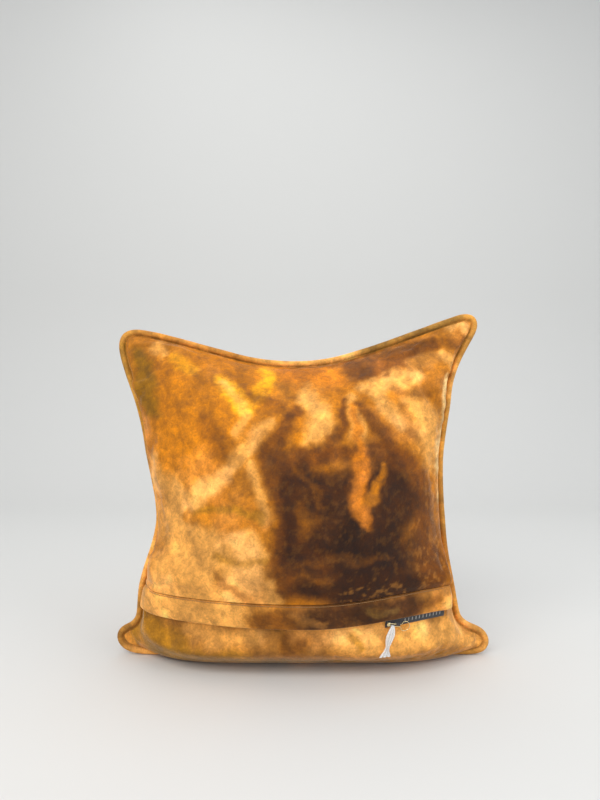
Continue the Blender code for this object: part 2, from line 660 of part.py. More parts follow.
def make_pull_tab(metal, plate_top):
    """A flat tab with a slot at its root; the bridge goes through the slot."""
    low = plate_top + 0.00035
    start, end = -0.0008, TAB_L
    half, corner = TAB_W / 2, 0.0012
    outline = [(start, -half + 0.0006), (start + 0.0006, -half), (end - corner, -half),
               (end, -half + corner), (end, half - corner), (end - corner, half),
               (start + 0.0006, half), (start, half - 0.0006)]
    along, s = np.array(outline).T
    layers = [on_cone(SLIDER_REST + along / ZIP_RADIUS, ZIP_S + s, n)
              for n in (low, low + TAB_T)]
    tab = swept("zipper_pull_tab", np.array(layers), metal, smooth=False)
    slot = [(0.0002, -0.0011), (0.0050, -0.0011), (0.0050, 0.0011), (0.0002, 0.0011)]
    along, s = np.array(slot).T
    layers = [on_cone(SLIDER_REST + along / ZIP_RADIUS, ZIP_S + s, n)
              for n in (low - 0.002, low + TAB_T + 0.002)]
    cut(tab, swept("tab_slot", np.array(layers), metal, smooth=False))


# Label, pin and ribbon ------------------------------------------------------------------------

LABEL_FROM, LABEL_TO = math.radians(13.9), math.radians(25.3)
LABEL_LOW, LABEL_HIGH = -0.0090, 0.0040
LABEL_N = -0.0045  # inner face of the label
LABEL_T = 0.0005
WIRE_R = 0.00045
PIN_TURN = math.radians(16.1)  # where the pin's arm goes under the label
PIN_S = 0.0002
PIN_N = LABEL_N + LABEL_T + 0.0020 + WIRE_R
PIN_TILT = math.radians(-12.0)
PIN_NECK = 0.0015  # half the width of the pin's narrow part
PIN_HEAD = -0.0105  # the clasp's inner end, along the pin from where it bites
BULB_AT, BULB_R = 0.0092, 0.0060
RIBBON_AT = -0.0066
RIBBON_DROP = 0.0345


def pin_point(along, across, out=0.0):
    """A place in the pin's own plane, which touches the cone where the pin bites."""
    origin = on_cone(PIN_TURN, PIN_S, PIN_N)
    right = np.array([math.cos(PIN_TURN), math.sin(PIN_TURN), 0.0])
    up = on_cone(PIN_TURN, PIN_S + 1.0, PIN_N) - origin
    facing = np.cross(right, up)
    across_axis = up * math.cos(PIN_TILT) - right * math.sin(PIN_TILT)
    along_axis = right * math.cos(PIN_TILT) + up * math.sin(PIN_TILT)
    along, across, out = (np.asarray(v, float)[..., None] for v in (along, across, out))
    return origin + along * along_axis + across * across_axis + out * facing


def make_label(ribbon):
    """A woven strip held under the flap's edge; it humps where the pin's arm goes through."""
    turns = np.unique(np.concatenate([
        np.linspace(LABEL_FROM, LABEL_TO, 9),
        PIN_TURN + np.linspace(-0.0155, 0.0155, 11),
    ]))
    heights = np.concatenate([np.linspace(LABEL_LOW, -0.0012, 13), [LABEL_HIGH]])
    turn, s = np.meshgrid(turns, heights)
    s = s + band_rise(ZIP_RADIUS * np.sin(turn))
    along = (turn - PIN_TURN) * ZIP_RADIUS
    line = PIN_S + along * math.tan(PIN_TILT)
    hump = 0.0038 * smooth_step((0.0044 - np.abs(along)) / 0.0026)
    hump = hump * smooth_step((0.0030 - np.abs(s - line)) / 0.0019)
    outer = on_cone(turn, s, LABEL_N + LABEL_T + hump)
    inner = on_cone(turn, s, LABEL_N + hump)
    label = between("woven_label", outer, inner, ribbon)
    ends = pin_point(np.array([-0.010, 0.010]), np.zeros(2))
    cut(label, swept("pin_holes", tube_rings(ends, 0.00085, 12), ribbon))


def pin_outline():
    """The wire's line from the clasp along the arm, round the bulb and back, in its plane."""
    shoulder = math.radians(125)
    bulb = [(BULB_AT + BULB_R * math.cos(a), -PIN_NECK + BULB_R * math.sin(a))
            for a in np.linspace(shoulder, -shoulder, 15)]
    arm = [(PIN_HEAD, 0.0), (-0.006, 0.0), (0.0, 0.0), (0.0030, 0.0), (0.0046, 0.0010)]
    back = [(0.0046, -2 * PIN_NECK - 0.0010), (0.0030, -2 * PIN_NECK),
            (-0.004, -2 * PIN_NECK), (PIN_HEAD, -2 * PIN_NECK)]
    return np.array(arm + bulb + back)


def make_pin(brass):
    flat = through(pin_outline(), 48)
    line = pin_point(flat[:, 0], flat[:, 1])
    swept("safety_pin_wire", tube_rings(line, WIRE_R, 6), brass)
    half = PIN_NECK + WIRE_R + 0.0006
    rings = []
    for along, share in ((PIN_HEAD - 0.0003, 0.95), (PIN_HEAD - 0.0014, 1.0),
                         (PIN_HEAD - 0.0028, 0.86), (PIN_HEAD - 0.0036, 0.5)):
        turns = np.arange(12) * math.pi / 6
        across = -PIN_NECK + half * share * np.cos(turns)
        rings.append(pin_point(np.full(12, along), across, 0.00105 * share * np.sin(turns)))
    swept("safety_pin_clasp", np.array(rings), brass)


def make_ribbon(gauze):
    """A gauze ribbon looped over the pin's back wire; its long tail hangs straight and fans out."""
    wire = pin_point(RIBBON_AT, -2 * PIN_NECK)
    along_wire = (pin_point(RIBBON_AT + 0.01, -2 * PIN_NECK) - wire) / 0.01
    turn = math.atan2(wire[0], ZIP_AXIS_Y - wire[1])
    level = np.array([math.cos(turn), math.sin(turn), 0.0])
    outward = np.array([math.sin(turn), -math.cos(turn), 0.0])
    loop_r, half_t = 0.00085, 0.0002
    over = np.linspace(-math.pi / 2, math.pi / 2, 7)
    out = np.concatenate([[-loop_r, -loop_r], loop_r * np.sin(over), np.full(9, loop_r)])
    drop = np.concatenate([[0.005, 0.0025], -loop_r * np.cos(over),
                           np.linspace(0.003, RIBBON_DROP, 9)])
    fall = np.clip(drop, 0.0, None) / RIBBON_DROP
    fall[:2] = 0.0
    half_width = np.interp(fall, [0.0, 0.10, 0.30, 0.45, 0.66, 0.80, 1.0],
                           [0.0021, 0.0036, 0.0052, 0.0046, 0.0024, 0.0034, 0.0072])
    slope = np.stack([np.gradient(out), np.gradient(drop)], axis=1)
    slope /= np.linalg.norm(slope, axis=1)[:, None]
    twist = smooth_step(fall * 3)[:, None]
    width_axis = along_wire * (1 - twist) + level * twist
    sheets = []
    for side in (half_t, -half_t):
        line = (wire + (out + slope[:, 1] * side)[:, None] * outward
                - 0.0095 * fall[:, None] * level)
        line[:, 2] -= drop - slope[:, 0] * side
        shares = np.linspace(-1, 1, 5)[None, :, None]
        sheets.append(line[:, None] + shares * half_width[:, None, None] * width_axis[:, None])
    between("tag_ribbon", sheets[0], sheets[1], gauze)


def main():
    velvet = material("velvet", (0.55, 0.27, 0.05), 0.75)
    thread = material("thread", (0.50, 0.27, 0.09), 0.8)
    cotton = material("cotton_cord", (0.85, 0.82, 0.75), 0.9)
    ticking = material("ticking", (0.90, 0.88, 0.83), 0.85)
    stuffing = material("fill", (0.93, 0.92, 0.88), 0.95)
    tape = material("zip_tape", (0.42, 0.25, 0.09), 0.8)
    nylon = material("zip_coil", (0.40, 0.24, 0.10), 0.4)
    steel = material("zip_metal", (0.55, 0.50, 0.42), 0.35, 1.0)
    label = material("label", (0.045, 0.045, 0.05), 0.85)
    brass = material("brass", (0.80, 0.62, 0.28), 0.25, 1.0)
    gauze = material("gauze", (0.92, 0.91, 0.90), 0.6)
    make_panels(velvet)
    make_flap(velvet, thread)
    make_piping(velvet, cotton)
    make_insert(ticking, stuffing)
    make_tapes(tape, nylon)
    make_stops(steel)
    make_pull_tab(steel, make_slider(steel))
    make_label(label)
    make_pin(brass)
    make_ribbon(gauze)


for old in list(bpy.data.objects):
    bpy.data.objects.remove(old)
ROOT = bpy.data.objects.new("pillow_frame", None)
ROOT.location = SHIFT
bpy.context.scene.collection.objects.link(ROOT)
main()
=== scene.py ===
"""A piped, tie-dyed crushed-velvet throw pillow, zip side forward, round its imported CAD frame.

Metres throughout: +Z up, +X to the right of someone looking at the zip side, -Y towards them.
"""

import itertools
import math

import bmesh
import bpy
import numpy as np
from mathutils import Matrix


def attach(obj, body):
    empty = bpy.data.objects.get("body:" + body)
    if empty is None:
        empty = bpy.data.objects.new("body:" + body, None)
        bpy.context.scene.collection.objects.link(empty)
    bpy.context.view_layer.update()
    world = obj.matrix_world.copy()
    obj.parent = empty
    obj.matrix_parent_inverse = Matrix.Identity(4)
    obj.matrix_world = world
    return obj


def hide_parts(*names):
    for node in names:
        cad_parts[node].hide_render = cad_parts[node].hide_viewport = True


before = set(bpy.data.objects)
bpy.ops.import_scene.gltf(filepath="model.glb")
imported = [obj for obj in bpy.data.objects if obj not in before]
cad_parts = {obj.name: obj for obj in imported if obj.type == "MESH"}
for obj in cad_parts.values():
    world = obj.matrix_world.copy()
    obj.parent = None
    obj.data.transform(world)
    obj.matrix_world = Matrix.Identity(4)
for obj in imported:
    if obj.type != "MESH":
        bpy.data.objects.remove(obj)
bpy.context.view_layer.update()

# The cover's measures, the same as the CAD model's.
PIPING_R = 0.0040
CORD_R = 0.0022
WRAP = 0.0010
FLANGE_END = 0.0062
VELVET = 0.0016
TICKING = 0.0008
GAP = 0.0004
PANEL_INSET = 0.0056
PANEL_EDGE_T = 0.0030
LEAN = 0.09
BODY_HALF_WIDTH = 0.2190
INSERT_HALF_WIDTH = 0.190
INSERT_MIDDLE = 0.190
INSERT_BASE = 0.0105
SHIFT = np.array([0.003324, -0.01105, 0.0])
ZIP_RADIUS = 0.400
ZIP_FLARE = math.radians(10.3)
ZIP_HALF_TURN = math.radians(23.6)
FLAP_DEPTH = 0.031
FLAP_EDGE_Z = 0.065
FLAP_END = 0.955
ARC_HALF_WIDTH = 0.172
ZIP_S = 0.0166
ZIP_N = -0.0115
COIL_W, COIL_T, COIL_GAP = 0.0022, 0.0022, 0.0016
ZIP_AXIS_Y = LEAN * FLAP_EDGE_Z - 0.0888 + ZIP_RADIUS
BAND_HALF_WIDTH = 0.201  # half the width between the side seams at the flap
LOWER_TOP = 0.0110
UPPER_FROM = FLAP_DEPTH + 0.0012
LABEL_FROM, LABEL_TO = math.radians(13.9), math.radians(25.3)
LABEL_LOW, LABEL_HIGH = -0.0090, 0.0040
LABEL_N = -0.0045
LABEL_T = 0.0005
WIRE_R = 0.00045
PIN_TURN = math.radians(16.1)
PIN_S = 0.0002
PIN_N = LABEL_N + LABEL_T + 0.0020 + WIRE_R
PIN_TILT = math.radians(-12.0)
PIN_NECK = 0.0015
PIN_HEAD = -0.0105
BULB_AT, BULB_R = 0.0092, 0.0060
RIBBON_AT = -0.0066
RIBBON_DROP = 0.0345

# How the velvet is let settle, and how its folds are kept in. The CAD model has none of this.
SETTLE_GRID = 72  # points each way on the cloth that is let settle
SETTLE_STEPS = 20
SETTLE_PRESSURE = 4.0
SETTLE_CAP = 0.0040  # the most that settling moves a point
SPARE_CLOTH = 0.035  # how much larger the cloth is than its face, as a share
HELD_RIM = 0.985  # share of the way out to the seams beyond which the cloth is held
HELD_BASE = 0.10  # row below which it is held, because the cover rests there
HELD_BESIDE_ZIP = 0.026  # held within this distance of the flap's middle
MOST_INWARD = -0.0010  # past this, folds press into the velvet much less


def in_metres(places):
    """Places that are written in millimetres."""
    return [tuple(number / 1000 for number in place) for place in places]


# The middle of the piping as x and height, anticlockwise from the lower left ear.
BOTTOM = in_metres([(-235, 26.5), (-233.5, 17.5), (-226, 10), (-212, 5.6), (-190, 4.2),
    (-90, 4.2), (0, 4.2), (90, 4.2), (190, 4.2), (215, 4.6)])
RIGHT = in_metres([(230, 8), (234.5, 16), (231.5, 26), (222.5, 32.5), (209.5, 37), (199, 45.5),
    (194.7, 62), (191.5, 82), (186.5, 110), (182.5, 135), (180, 170), (178, 215), (179, 255),
    (183.5, 287), (189, 318), (192.5, 345), (205, 380), (219.5, 406), (227, 422)])
TOP = in_metres([(225.5, 432), (215, 434.5), (196, 429), (150, 412.5), (80, 388), (35, 375.5),
    (-5, 371.5), (-55, 374.5), (-120, 390), (-170, 403.5), (-205, 411.5), (-225, 413.5)])
LEFT = in_metres([(-235.5, 409.5), (-239, 399), (-236, 380), (-228, 355), (-216, 322),
    (-207, 289), (-201, 256), (-194, 225), (-188, 195), (-186, 170), (-191, 142), (-201, 111),
    (-207.5, 85), (-209, 62), (-211, 45), (-219, 36.5), (-229, 33.5)])

# Side view at mid width: distance from the seam plane and height.
ZIP_SIDE = in_metres([(3, 8.8), (6.2, 3), (12, 0), (20, 0), (30, 3), (45, 11.8), (61, 20.5),
    (76.5, 32.5), (85, 47.5), (88.8, 65), (94.8, 98), (99.5, 140), (100, 185), (94.5, 235),
    (81, 282), (60, 322), (34.5, 350), (15, 363), (3, 366.9)])
PLAIN_SIDE = in_metres([(3, 8.8), (6.2, 3), (12, 0), (23, 0), (34, 0), (56, 11), (77, 35),
    (90, 75), (96.8, 125), (97.8, 175), (92, 230), (78, 280), (57, 322), (32, 350), (14, 363),
    (3, 366.9)])

# How far the faces swell sideways over the side seams, by the row's height at mid width.
SWELL_HEIGHTS = [0.0, 0.040, 0.065, 0.100, 0.150, 0.330, 0.385]
SWELL_LEFT = [0.0, 0.0060, 0.0095, 0.0050, 0.0100, 0.0115, 0.0]
SWELL_RIGHT = [0.0040, 0.0060, 0.0050, 0.0020, 0.0055, 0.0070, 0.0]


# Camera, floor and light ----


def make_camera():
    data = bpy.data.cameras.new("camera")
    data.lens = 27.09
    data.sensor_width = 36
    camera = bpy.data.objects.new("camera", data)
    camera.location = (-0.0007, -0.7710, 0.3450)
    camera.rotation_euler = (math.radians(88.5), 0, 0)
    bpy.context.scene.collection.objects.link(camera)
    bpy.context.scene.camera = camera


def make_floor():
    """A pale sheet that runs level under the pillow and curves up far behind it."""
    line = [(-2.6, 0.0), (0.9, 0.0)]
    line += [(0.9 + 0.7 * math.sin(a), 0.7 - 0.7 * math.cos(a))
             for a in np.linspace(0.1, math.pi / 2, 12)]
    line += [(1.6, 3.2)]
    points, faces = [], []
    for y, z in line:
        points += [(-3.2, y, z), (3.2, y, z)]
    for i in range(len(line) - 1):
        faces.append((2 * i, 2 * i + 1, 2 * i + 3, 2 * i + 2))
    mesh = bpy.data.meshes.new("floor")
    mesh.from_pydata(points, [], faces)
    mesh.shade_smooth()
    floor = bpy.data.objects.new("floor", mesh)
    bpy.context.scene.collection.objects.link(floor)
    made = bpy.data.materials.new("pale_floor")
    made.use_nodes = True
    shader = made.node_tree.nodes["Principled BSDF"]
    shader.inputs["Base Color"].default_value = (0.66, 0.66, 0.645, 1)
    shader.inputs["Roughness"].default_value = 0.85
    mesh.materials.append(made)


def area_light(name, place, towards, size, power, colour):
    data = bpy.data.lights.new(name, "AREA")
    data.shape = "RECTANGLE"
    data.size, data.size_y = size
    data.energy = power
    data.color = colour
    lamp = bpy.data.objects.new(name, data)
    lamp.location = place
    aim = np.array(towards) - np.array(place)
    flat = math.hypot(aim[0], aim[1])
    lamp.rotation_euler = (math.atan2(flat, -aim[2]), 0, math.atan2(-aim[0], aim[1]))
    bpy.context.scene.collection.objects.link(lamp)


def make_lights():
    world = bpy.data.worlds.new("studio")
    bpy.context.scene.world = world
    world.use_nodes = True
    back = world.node_tree.nodes["Background"]
    back.inputs["Color"].default_value = (0.93, 0.96, 1.0, 1)
    back.inputs["Strength"].default_value = 0.55
    area_light("key", (-0.9, -1.5, 1.9), (0, 0, 0.2), (1.8, 1.4), 34, (1.0, 0.98, 0.95))
    area_light("fill", (1.5, -0.9, 1.0), (0, 0, 0.2), (1.4, 1.4), 12, (0.96, 0.98, 1.0))
    area_light("top", (0.1, 0.3, 2.2), (0, 0, 0.2), (2.0, 1.6), 16, (1.0, 1.0, 1.0))


make_camera()
make_floor()
make_lights()
bpy.context.scene.view_settings.view_transform = "Standard"


# Curves and noise ----


def arc_lengths(points):
    """Distance along a line of points, from 0 at its start."""
    steps = np.linalg.norm(np.diff(points, axis=0), axis=1)
    return np.concatenate([[0.0], np.cumsum(steps)])


def through(points, count, closed=False):
    """count points on a smooth curve through the given ones (Catmull-Rom on chord lengths)."""
    knots = np.array(points, float)
    if closed:
        knots = np.concatenate([knots[-2:], knots, knots[:3]])
    at = arc_lengths(knots)
    slope = np.gradient(knots, at, axis=0)
    low, high = (at[2], at[-3]) if closed else (at[0], at[-1])
    where = np.linspace(low, high, count, endpoint=not closed)
    i = np.clip(np.searchsorted(at, where, side="right") - 1, 0, len(at) - 2)
    span = (at[i + 1] - at[i])[:, None]
    t = (where[:, None] - at[i][:, None]) / span
    return (
        (2 * t**3 - 3 * t**2 + 1) * knots[i]
        + (t**3 - 2 * t**2 + t) * span * slope[i]
        + (3 * t**2 - 2 * t**3) * knots[i + 1]
        + (t**3 - t**2) * span * slope[i + 1]
    )


def smooth_step(t):
    t = np.clip(t, 0.0, 1.0)
    return t * t * (3 - 2 * t)


def outward_of(loop):
    """The unit normal that points out of a closed anticlockwise loop in the plane."""
    along = np.roll(loop, -1, axis=0) - np.roll(loop, 1, axis=0)
    along /= np.linalg.norm(along, axis=1)[:, None]
    return np.stack([along[:, 1], -along[:, 0]], axis=1)


def corner_numbers(loop):
    """Where the four edges start on the sampled loop."""
    starts = [BOTTOM[0], RIGHT[0], TOP[0], LEFT[0]]
    return [int(np.linalg.norm(loop - np.array(p), axis=1).argmin()) for p in starts]


def softened(loop, spread):
    """A closed loop with its tight corners eased, spread samples each way."""
    reach = np.arange(-3 * spread, 3 * spread + 1)
    weight = np.exp(-0.5 * (reach / spread) ** 2)
    weight /= weight.sum()
    eased = sum(part * np.roll(loop, -k, axis=0) for k, part in zip(reach, weight))
    return np.stack([eased[:, 0], np.maximum(eased[:, 1], BOTTOM[6][1])], axis=1)


SEAM = softened(through(BOTTOM + RIGHT + TOP + LEFT, 1200, closed=True), 4)
SEAM_OUT = outward_of(SEAM)
CORNERS = corner_numbers(SEAM)


def lattice(cell, seed):
    """A fixed value from -1 to 1 for each whole-number cell."""
    n = cell[..., 0] * 73856093 ^ cell[..., 1] * 19349663 ^ cell[..., 2] * 83492791
    n = (n ^ seed * 26544357) & 0x7FFFFFFF
    n = ((n ^ (n >> 13)) * 1274126177) & 0x7FFFFFFF
    n = ((n ^ (n >> 15)) * 1103515245) & 0x7FFFFFFF
    return ((n >> 8) & 0xFFFF) / 32767.5 - 1


def noise(points, per_metre, seed):
    """Smooth noise from -1 to 1 with per_metre cells in a metre."""
    at = points * per_metre + 1000.0
    cell = np.floor(at).astype(np.int64)
    part = at - cell
    part = part * part * (3 - 2 * part)
    total = np.zeros(points.shape[:-1])
    for corner in itertools.product((0, 1), repeat=3):
        corner = np.array(corner)
        weight = np.prod(np.where(corner == 1, part, 1 - part), axis=-1)
        total += weight * lattice(cell + corner, seed)
    return total


def fractal(points, per_metre, seed, octaves=4):
    """Noise with finer noise on it, about -1 to 1."""
    total = sum(noise(points, per_metre * 2.03**k, seed + 17 * k) * 0.55**k
                for k in range(octaves))
    return total / 1.25


# The stuffed shape ----


class Outline:
    """The seam loop taken in by a distance, split into its four edges."""

    def __init__(self, inset):
        loop = SEAM - inset * SEAM_OUT
        a, b, c, d = CORNERS
        self.bottom = loop[a : b + 1]
        self.right = loop[b : c + 1]
        self.top = loop[c : d + 1][::-1]
        self.left = np.concatenate([loop[d:], loop[: a + 1]])[::-1]

    def height(self, edge, x):
        line = getattr(self, edge)
        return np.interp(x, line[:, 0], line[:, 1])

    def side(self, edge, w, marks):
        """Points of a side edge at the body's row positions w."""
        line = getattr(self, edge)
        share = arc_lengths(line)
        share /= share[-1]
        at_marks = [0.0]
        for height in (FLAP_EDGE_Z, FLAP_EDGE_Z + FLAP_DEPTH * math.cos(ZIP_FLARE)):
            lowest = int(line[:, 1].argmin())
            reach = lowest + int(np.argmax(line[lowest:, 1] >= height))
            at_marks.append(share[reach])
        at = np.interp(w, marks, at_marks + [1.0])
        return np.stack([np.interp(at, share, line[:, k]) for k in (0, 1)], axis=-1)


class Face:
    """One stuffed face of the cover, as a surface of u across (-1 to 1) and w up (0 to 1)."""

    def __init__(self, profile, way):
        self.way = way  # -1 is the zip side, +1 the plain side
        self.profile = through(profile, 600)
        self.reach = arc_lengths(self.profile)
        self.length = self.reach[-1]
        self.reach /= self.length
        self.outline = Outline(PANEL_INSET)
        rows = np.argmax(self.profile[300:, 1] > 0.2) + 300
        rising = self.profile[150 : rows + 150]
        first = self.reach[150 : rows + 150]
        top = FLAP_EDGE_Z + FLAP_DEPTH * math.cos(ZIP_FLARE)
        self.flap_w = float(np.interp(FLAP_EDGE_Z, rising[:, 1], first))
        self.stitch_w = float(np.interp(top, rising[:, 1], first))
        self.marks = [0.0, self.flap_w, self.stitch_w, 1.0]

    def row(self, s):
        """The row position at a distance s up from the flap's fold."""
        return self.flap_w + np.asarray(s) / self.length

    def fullness(self, x, edge, middle):
        """Share of the middle's thickness that is left at x; squarer low down."""
        rise = smooth_step((middle - 0.080) / 0.090)
        half = edge + (1 - rise) * (np.minimum(edge, BODY_HALF_WIDTH) - edge)
        share = np.clip(np.abs(x) / half, 0.0, 1.0)
        square = np.interp(middle, [0.045, 0.062, 0.100, 0.170], [4.0, 2.3, 2.2, 2.6])
        return (1 - share**square) ** 0.61

    def swell(self, u, middle):
        """How far out the face stands beyond its straight share of the width."""
        most = np.where(u < 0, -np.interp(middle, SWELL_HEIGHTS, SWELL_LEFT),
                        np.interp(middle, SWELL_HEIGHTS, SWELL_RIGHT))
        in_from_edge = 1 - np.abs(u)
        return most * smooth_step(in_from_edge / 0.05) * (
            1 - smooth_step((in_from_edge - 0.05) / 0.17))

    def point(self, u, w):
        """Places on the outer face, for arrays u and w of one shape."""
        u, w = np.broadcast_arrays(np.asarray(u, float), np.asarray(w, float))
        left = self.outline.side("left", w, self.marks)
        right = self.outline.side("right", w, self.marks)
        x = left[..., 0] + (right[..., 0] - left[..., 0]) * (u + 1) / 2
        thick = np.interp(w, self.reach, self.profile[:, 0]) - PANEL_EDGE_T
        middle = np.interp(w, self.reach, self.profile[:, 1])
        upper = np.clip((w - self.stitch_w) / (1 - self.stitch_w), 0.0, 1.0) ** 1.6
        lower = np.clip(1 - w / 0.16, 0.0, 1.0) ** 2

        def height(at_x):
            top = self.outline.height("top", at_x) - self.outline.height("top", 0.0)
            low = self.outline.height("bottom", at_x) - self.outline.height("bottom", 0.0)
            return middle + upper * top + lower * low

        z = height(x)
        z += np.clip(-u, 0, 1) ** 7 * (left[..., 1] - height(left[..., 0]))
        z += np.clip(u, 0, 1) ** 7 * (right[..., 1] - height(right[..., 0]))
        edge = np.where(x < 0, -left[..., 0], right[..., 0])
        y = LEAN * z + self.way * (PANEL_EDGE_T + thick * self.fullness(x, edge, middle))
        in_from_edge = edge - np.abs(x)
        x = x + self.swell(u, middle)
        if self.way < 0:
            y = self.onto_cone(x, y, z, w, edge, in_from_edge)
        return np.stack([x, y, np.maximum(z, 0.0)], axis=-1)

    def onto_cone(self, x, y, z, w, edge, in_from_edge):
        """Brings the face round the zip onto the cone, and fades out of it above and below."""
        radius = ZIP_RADIUS + (z - FLAP_EDGE_Z) * math.tan(ZIP_FLARE)
        cone = ZIP_AXIS_Y - np.sqrt(np.maximum(radius**2 - x**2, 0.0))
        below = smooth_step((w - self.flap_w + 0.11) / 0.09)
        above = smooth_step((self.stitch_w + 0.13 - w) / 0.10)
        inside = smooth_step(in_from_edge / np.maximum(edge - ARC_HALF_WIDTH, 1e-6))
        share = below * above * inside
        return y + share * (cone - y)

    def normal(self, u, w):
        """Unit normal out of the cover."""
        step = 0.012
        low, high = np.clip(u - step, -1, 1), np.clip(u + step, -1, 1)
        across = self.point(high, w) - self.point(low, w)
        low, high = np.clip(w - step, 0, 1), np.clip(w + step, 0, 1)
        up = self.point(u, high) - self.point(u, low)
        out = np.cross(up, across) * self.way
        return out / np.maximum(np.linalg.norm(out, axis=-1), 1e-12)[..., None]

    def place(self, u, w, n=0.0):
        """Places at a distance n off the outer face; negative is into the pillow."""
        n = np.broadcast_to(np.asarray(n, float), np.broadcast(u, w).shape)
        return self.point(u, w) + n[..., None] * self.normal(u, w)


ZIP_FACE = Face(ZIP_SIDE, -1)
PLAIN_FACE = Face(PLAIN_SIDE, +1)


def on_cone(turn, s, n):
    """A place beside the zip: turn round its upright axis, s up the cone, n out from it."""
    turn, s, n = np.broadcast_arrays(turn, s, n)
    radius = ZIP_RADIUS + s * math.sin(ZIP_FLARE) + n * math.cos(ZIP_FLARE)
    z = FLAP_EDGE_Z + s * math.cos(ZIP_FLARE) - n * math.sin(ZIP_FLARE)
    return np.stack([radius * np.sin(turn), ZIP_AXIS_Y - radius * np.cos(turn), z], axis=-1)


def spaced(count, crowd=0.6):
    """count values from -1 to 1, closer together towards both ends."""
    even = np.linspace(-1, 1, count)
    return (1 - crowd) * even + crowd * np.sin(even * math.pi / 2)


def band_rise(x):
    """How far the flap and its stitches rise along the face towards the two sides, at x."""
    return 0.0095 * smooth_step((x - 0.020) / 0.150) + 0.0040 * smooth_step((-x - 0.165) / 0.04)


def lower_panel_depth(s):
    """How deep the lower panel lies below the cover's face, s up from the flap's fold."""
    under_flap = 0.0054 + 0.0040 * smooth_step((s + 0.002) / 0.011)
    return -under_flap * smooth_step((s + 0.055) / 0.045)


def settle(face):
    """Settles a face as cloth on a coarse grid; gives each point's capped move along its normal."""
    at_u, at_w = np.meshgrid(np.linspace(-1, 1, SETTLE_GRID), np.linspace(0, 1, SETTLE_GRID))
    start = face.point(at_u, at_w)
    number = np.arange(at_u.size).reshape(at_u.shape)
    quads = np.stack([number[:-1, :-1], number[:-1, 1:], number[1:, 1:], number[1:, :-1]],
                     axis=-1).reshape(-1, 4)[:, :: -face.way]
    mesh = bpy.data.meshes.new("settling")
    mesh.from_pydata(start.reshape(-1, 3).tolist(), [], quads.tolist())
    cloth_piece = bpy.data.objects.new("settling", mesh)
    scene = bpy.context.scene
    scene.collection.objects.link(cloth_piece)
    held = (np.abs(at_u) > HELD_RIM) | (at_w < HELD_BASE) | (at_w > HELD_RIM)
    if face.way < 0:
        held |= np.abs((at_w - face.flap_w) * face.length - FLAP_DEPTH / 2) < HELD_BESIDE_ZIP
    group = cloth_piece.vertex_groups.new(name="held")
    group.add(number[held].tolist(), 1.0, "REPLACE")
    cloth = cloth_piece.modifiers.new("settle", "CLOTH")
    cloth.settings.quality = 6
    cloth.settings.mass = 0.15
    cloth.settings.use_pressure = True
    cloth.settings.uniform_pressure_force = SETTLE_PRESSURE
    cloth.settings.shrink_min = -SPARE_CLOTH
    cloth.settings.bending_stiffness = 0.4
    cloth.settings.effector_weights.gravity = 0.0
    cloth.settings.vertex_group_mass = "held"
    for step in range(1, SETTLE_STEPS + 1):
        scene.frame_set(step)
    end = np.empty(start.size, dtype=np.float32)
    now = cloth_piece.evaluated_get(bpy.context.evaluated_depsgraph_get())
    now.data.vertices.foreach_get("co", end)
    scene.frame_set(1)
    bpy.data.objects.remove(cloth_piece)
    moved = end.reshape(start.shape) - start
    out = (moved * face.normal(at_u, at_w)).sum(axis=-1)
    return SETTLE_CAP * np.tanh(out / SETTLE_CAP)


SETTLED = {}


def settled(face, u, w):
    if face.way not in SETTLED:
        SETTLED[face.way] = settle(face)
    grid = SETTLED[face.way]
    column = np.clip((u + 1) / 2, 0, 1) * (SETTLE_GRID - 1)
    row = np.clip(w, 0, 1) * (SETTLE_GRID - 1)
    left = np.minimum(column.astype(int), SETTLE_GRID - 2)
    low = np.minimum(row.astype(int), SETTLE_GRID - 2)
    across, up = column - left, row - low
    below = grid[low, left] * (1 - across) + grid[low, left + 1] * across
    above = grid[low + 1, left] * (1 - across) + grid[low + 1, left + 1] * across
    return below * (1 - up) + above * up


def folds(face, u, w, seed):
    """How far the velvet stands off its smooth shape: settling, puckers at seams, ripples."""
    at = face.point(u, w)
    across = np.minimum(1 - np.abs(u), 1.0) * 0.19  # distance to the side seam
    below_top = (1 - w) * face.length
    rim = smooth_step(across / 0.006) * smooth_step(below_top / 0.006)
    rim = rim * smooth_step(w * face.length / 0.03)
    rim = rim * smooth_step((at[..., 2] - 0.0008) / 0.007)  # what it rests on stays flat
    along_side = np.stack([np.zeros_like(u), np.sign(u), at[..., 2]], axis=-1)
    along_top = np.stack([at[..., 0], np.zeros_like(u), np.full_like(u, 5.0)], axis=-1)
    pucker = (fractal(along_side * [1, 1, 62], 1.0, seed, 3) * np.exp(-across / 0.020)
              + 0.7 * fractal(along_top * [62, 1, 1], 1.0, seed + 5, 3)
              * np.exp(-below_top / 0.018))
    ripple = noise(at, 16, seed + 9) * 0.0016 + noise(at, 34, seed + 11) * 0.0008
    crush = (1 - np.abs(fractal(at, 30, seed + 13, 3)) * 2) * 0.0005
    calm = 1.0
    if face.way < 0:
        s = (w - face.flap_w) * face.length
        calm = smooth_step(np.abs(s - FLAP_DEPTH / 2) / 0.030 - 0.5)
    off = rim * (0.0028 * pucker + calm * (ripple + crush + settled(face, u, w)))
    if face.way < 0:
        off = np.where(s < 0, np.minimum(off, 0.0), off)  # more room for the swinging ribbon
    return np.where(off < MOST_INWARD, MOST_INWARD + 0.15 * (off - MOST_INWARD), off)


# Mesh helpers ----


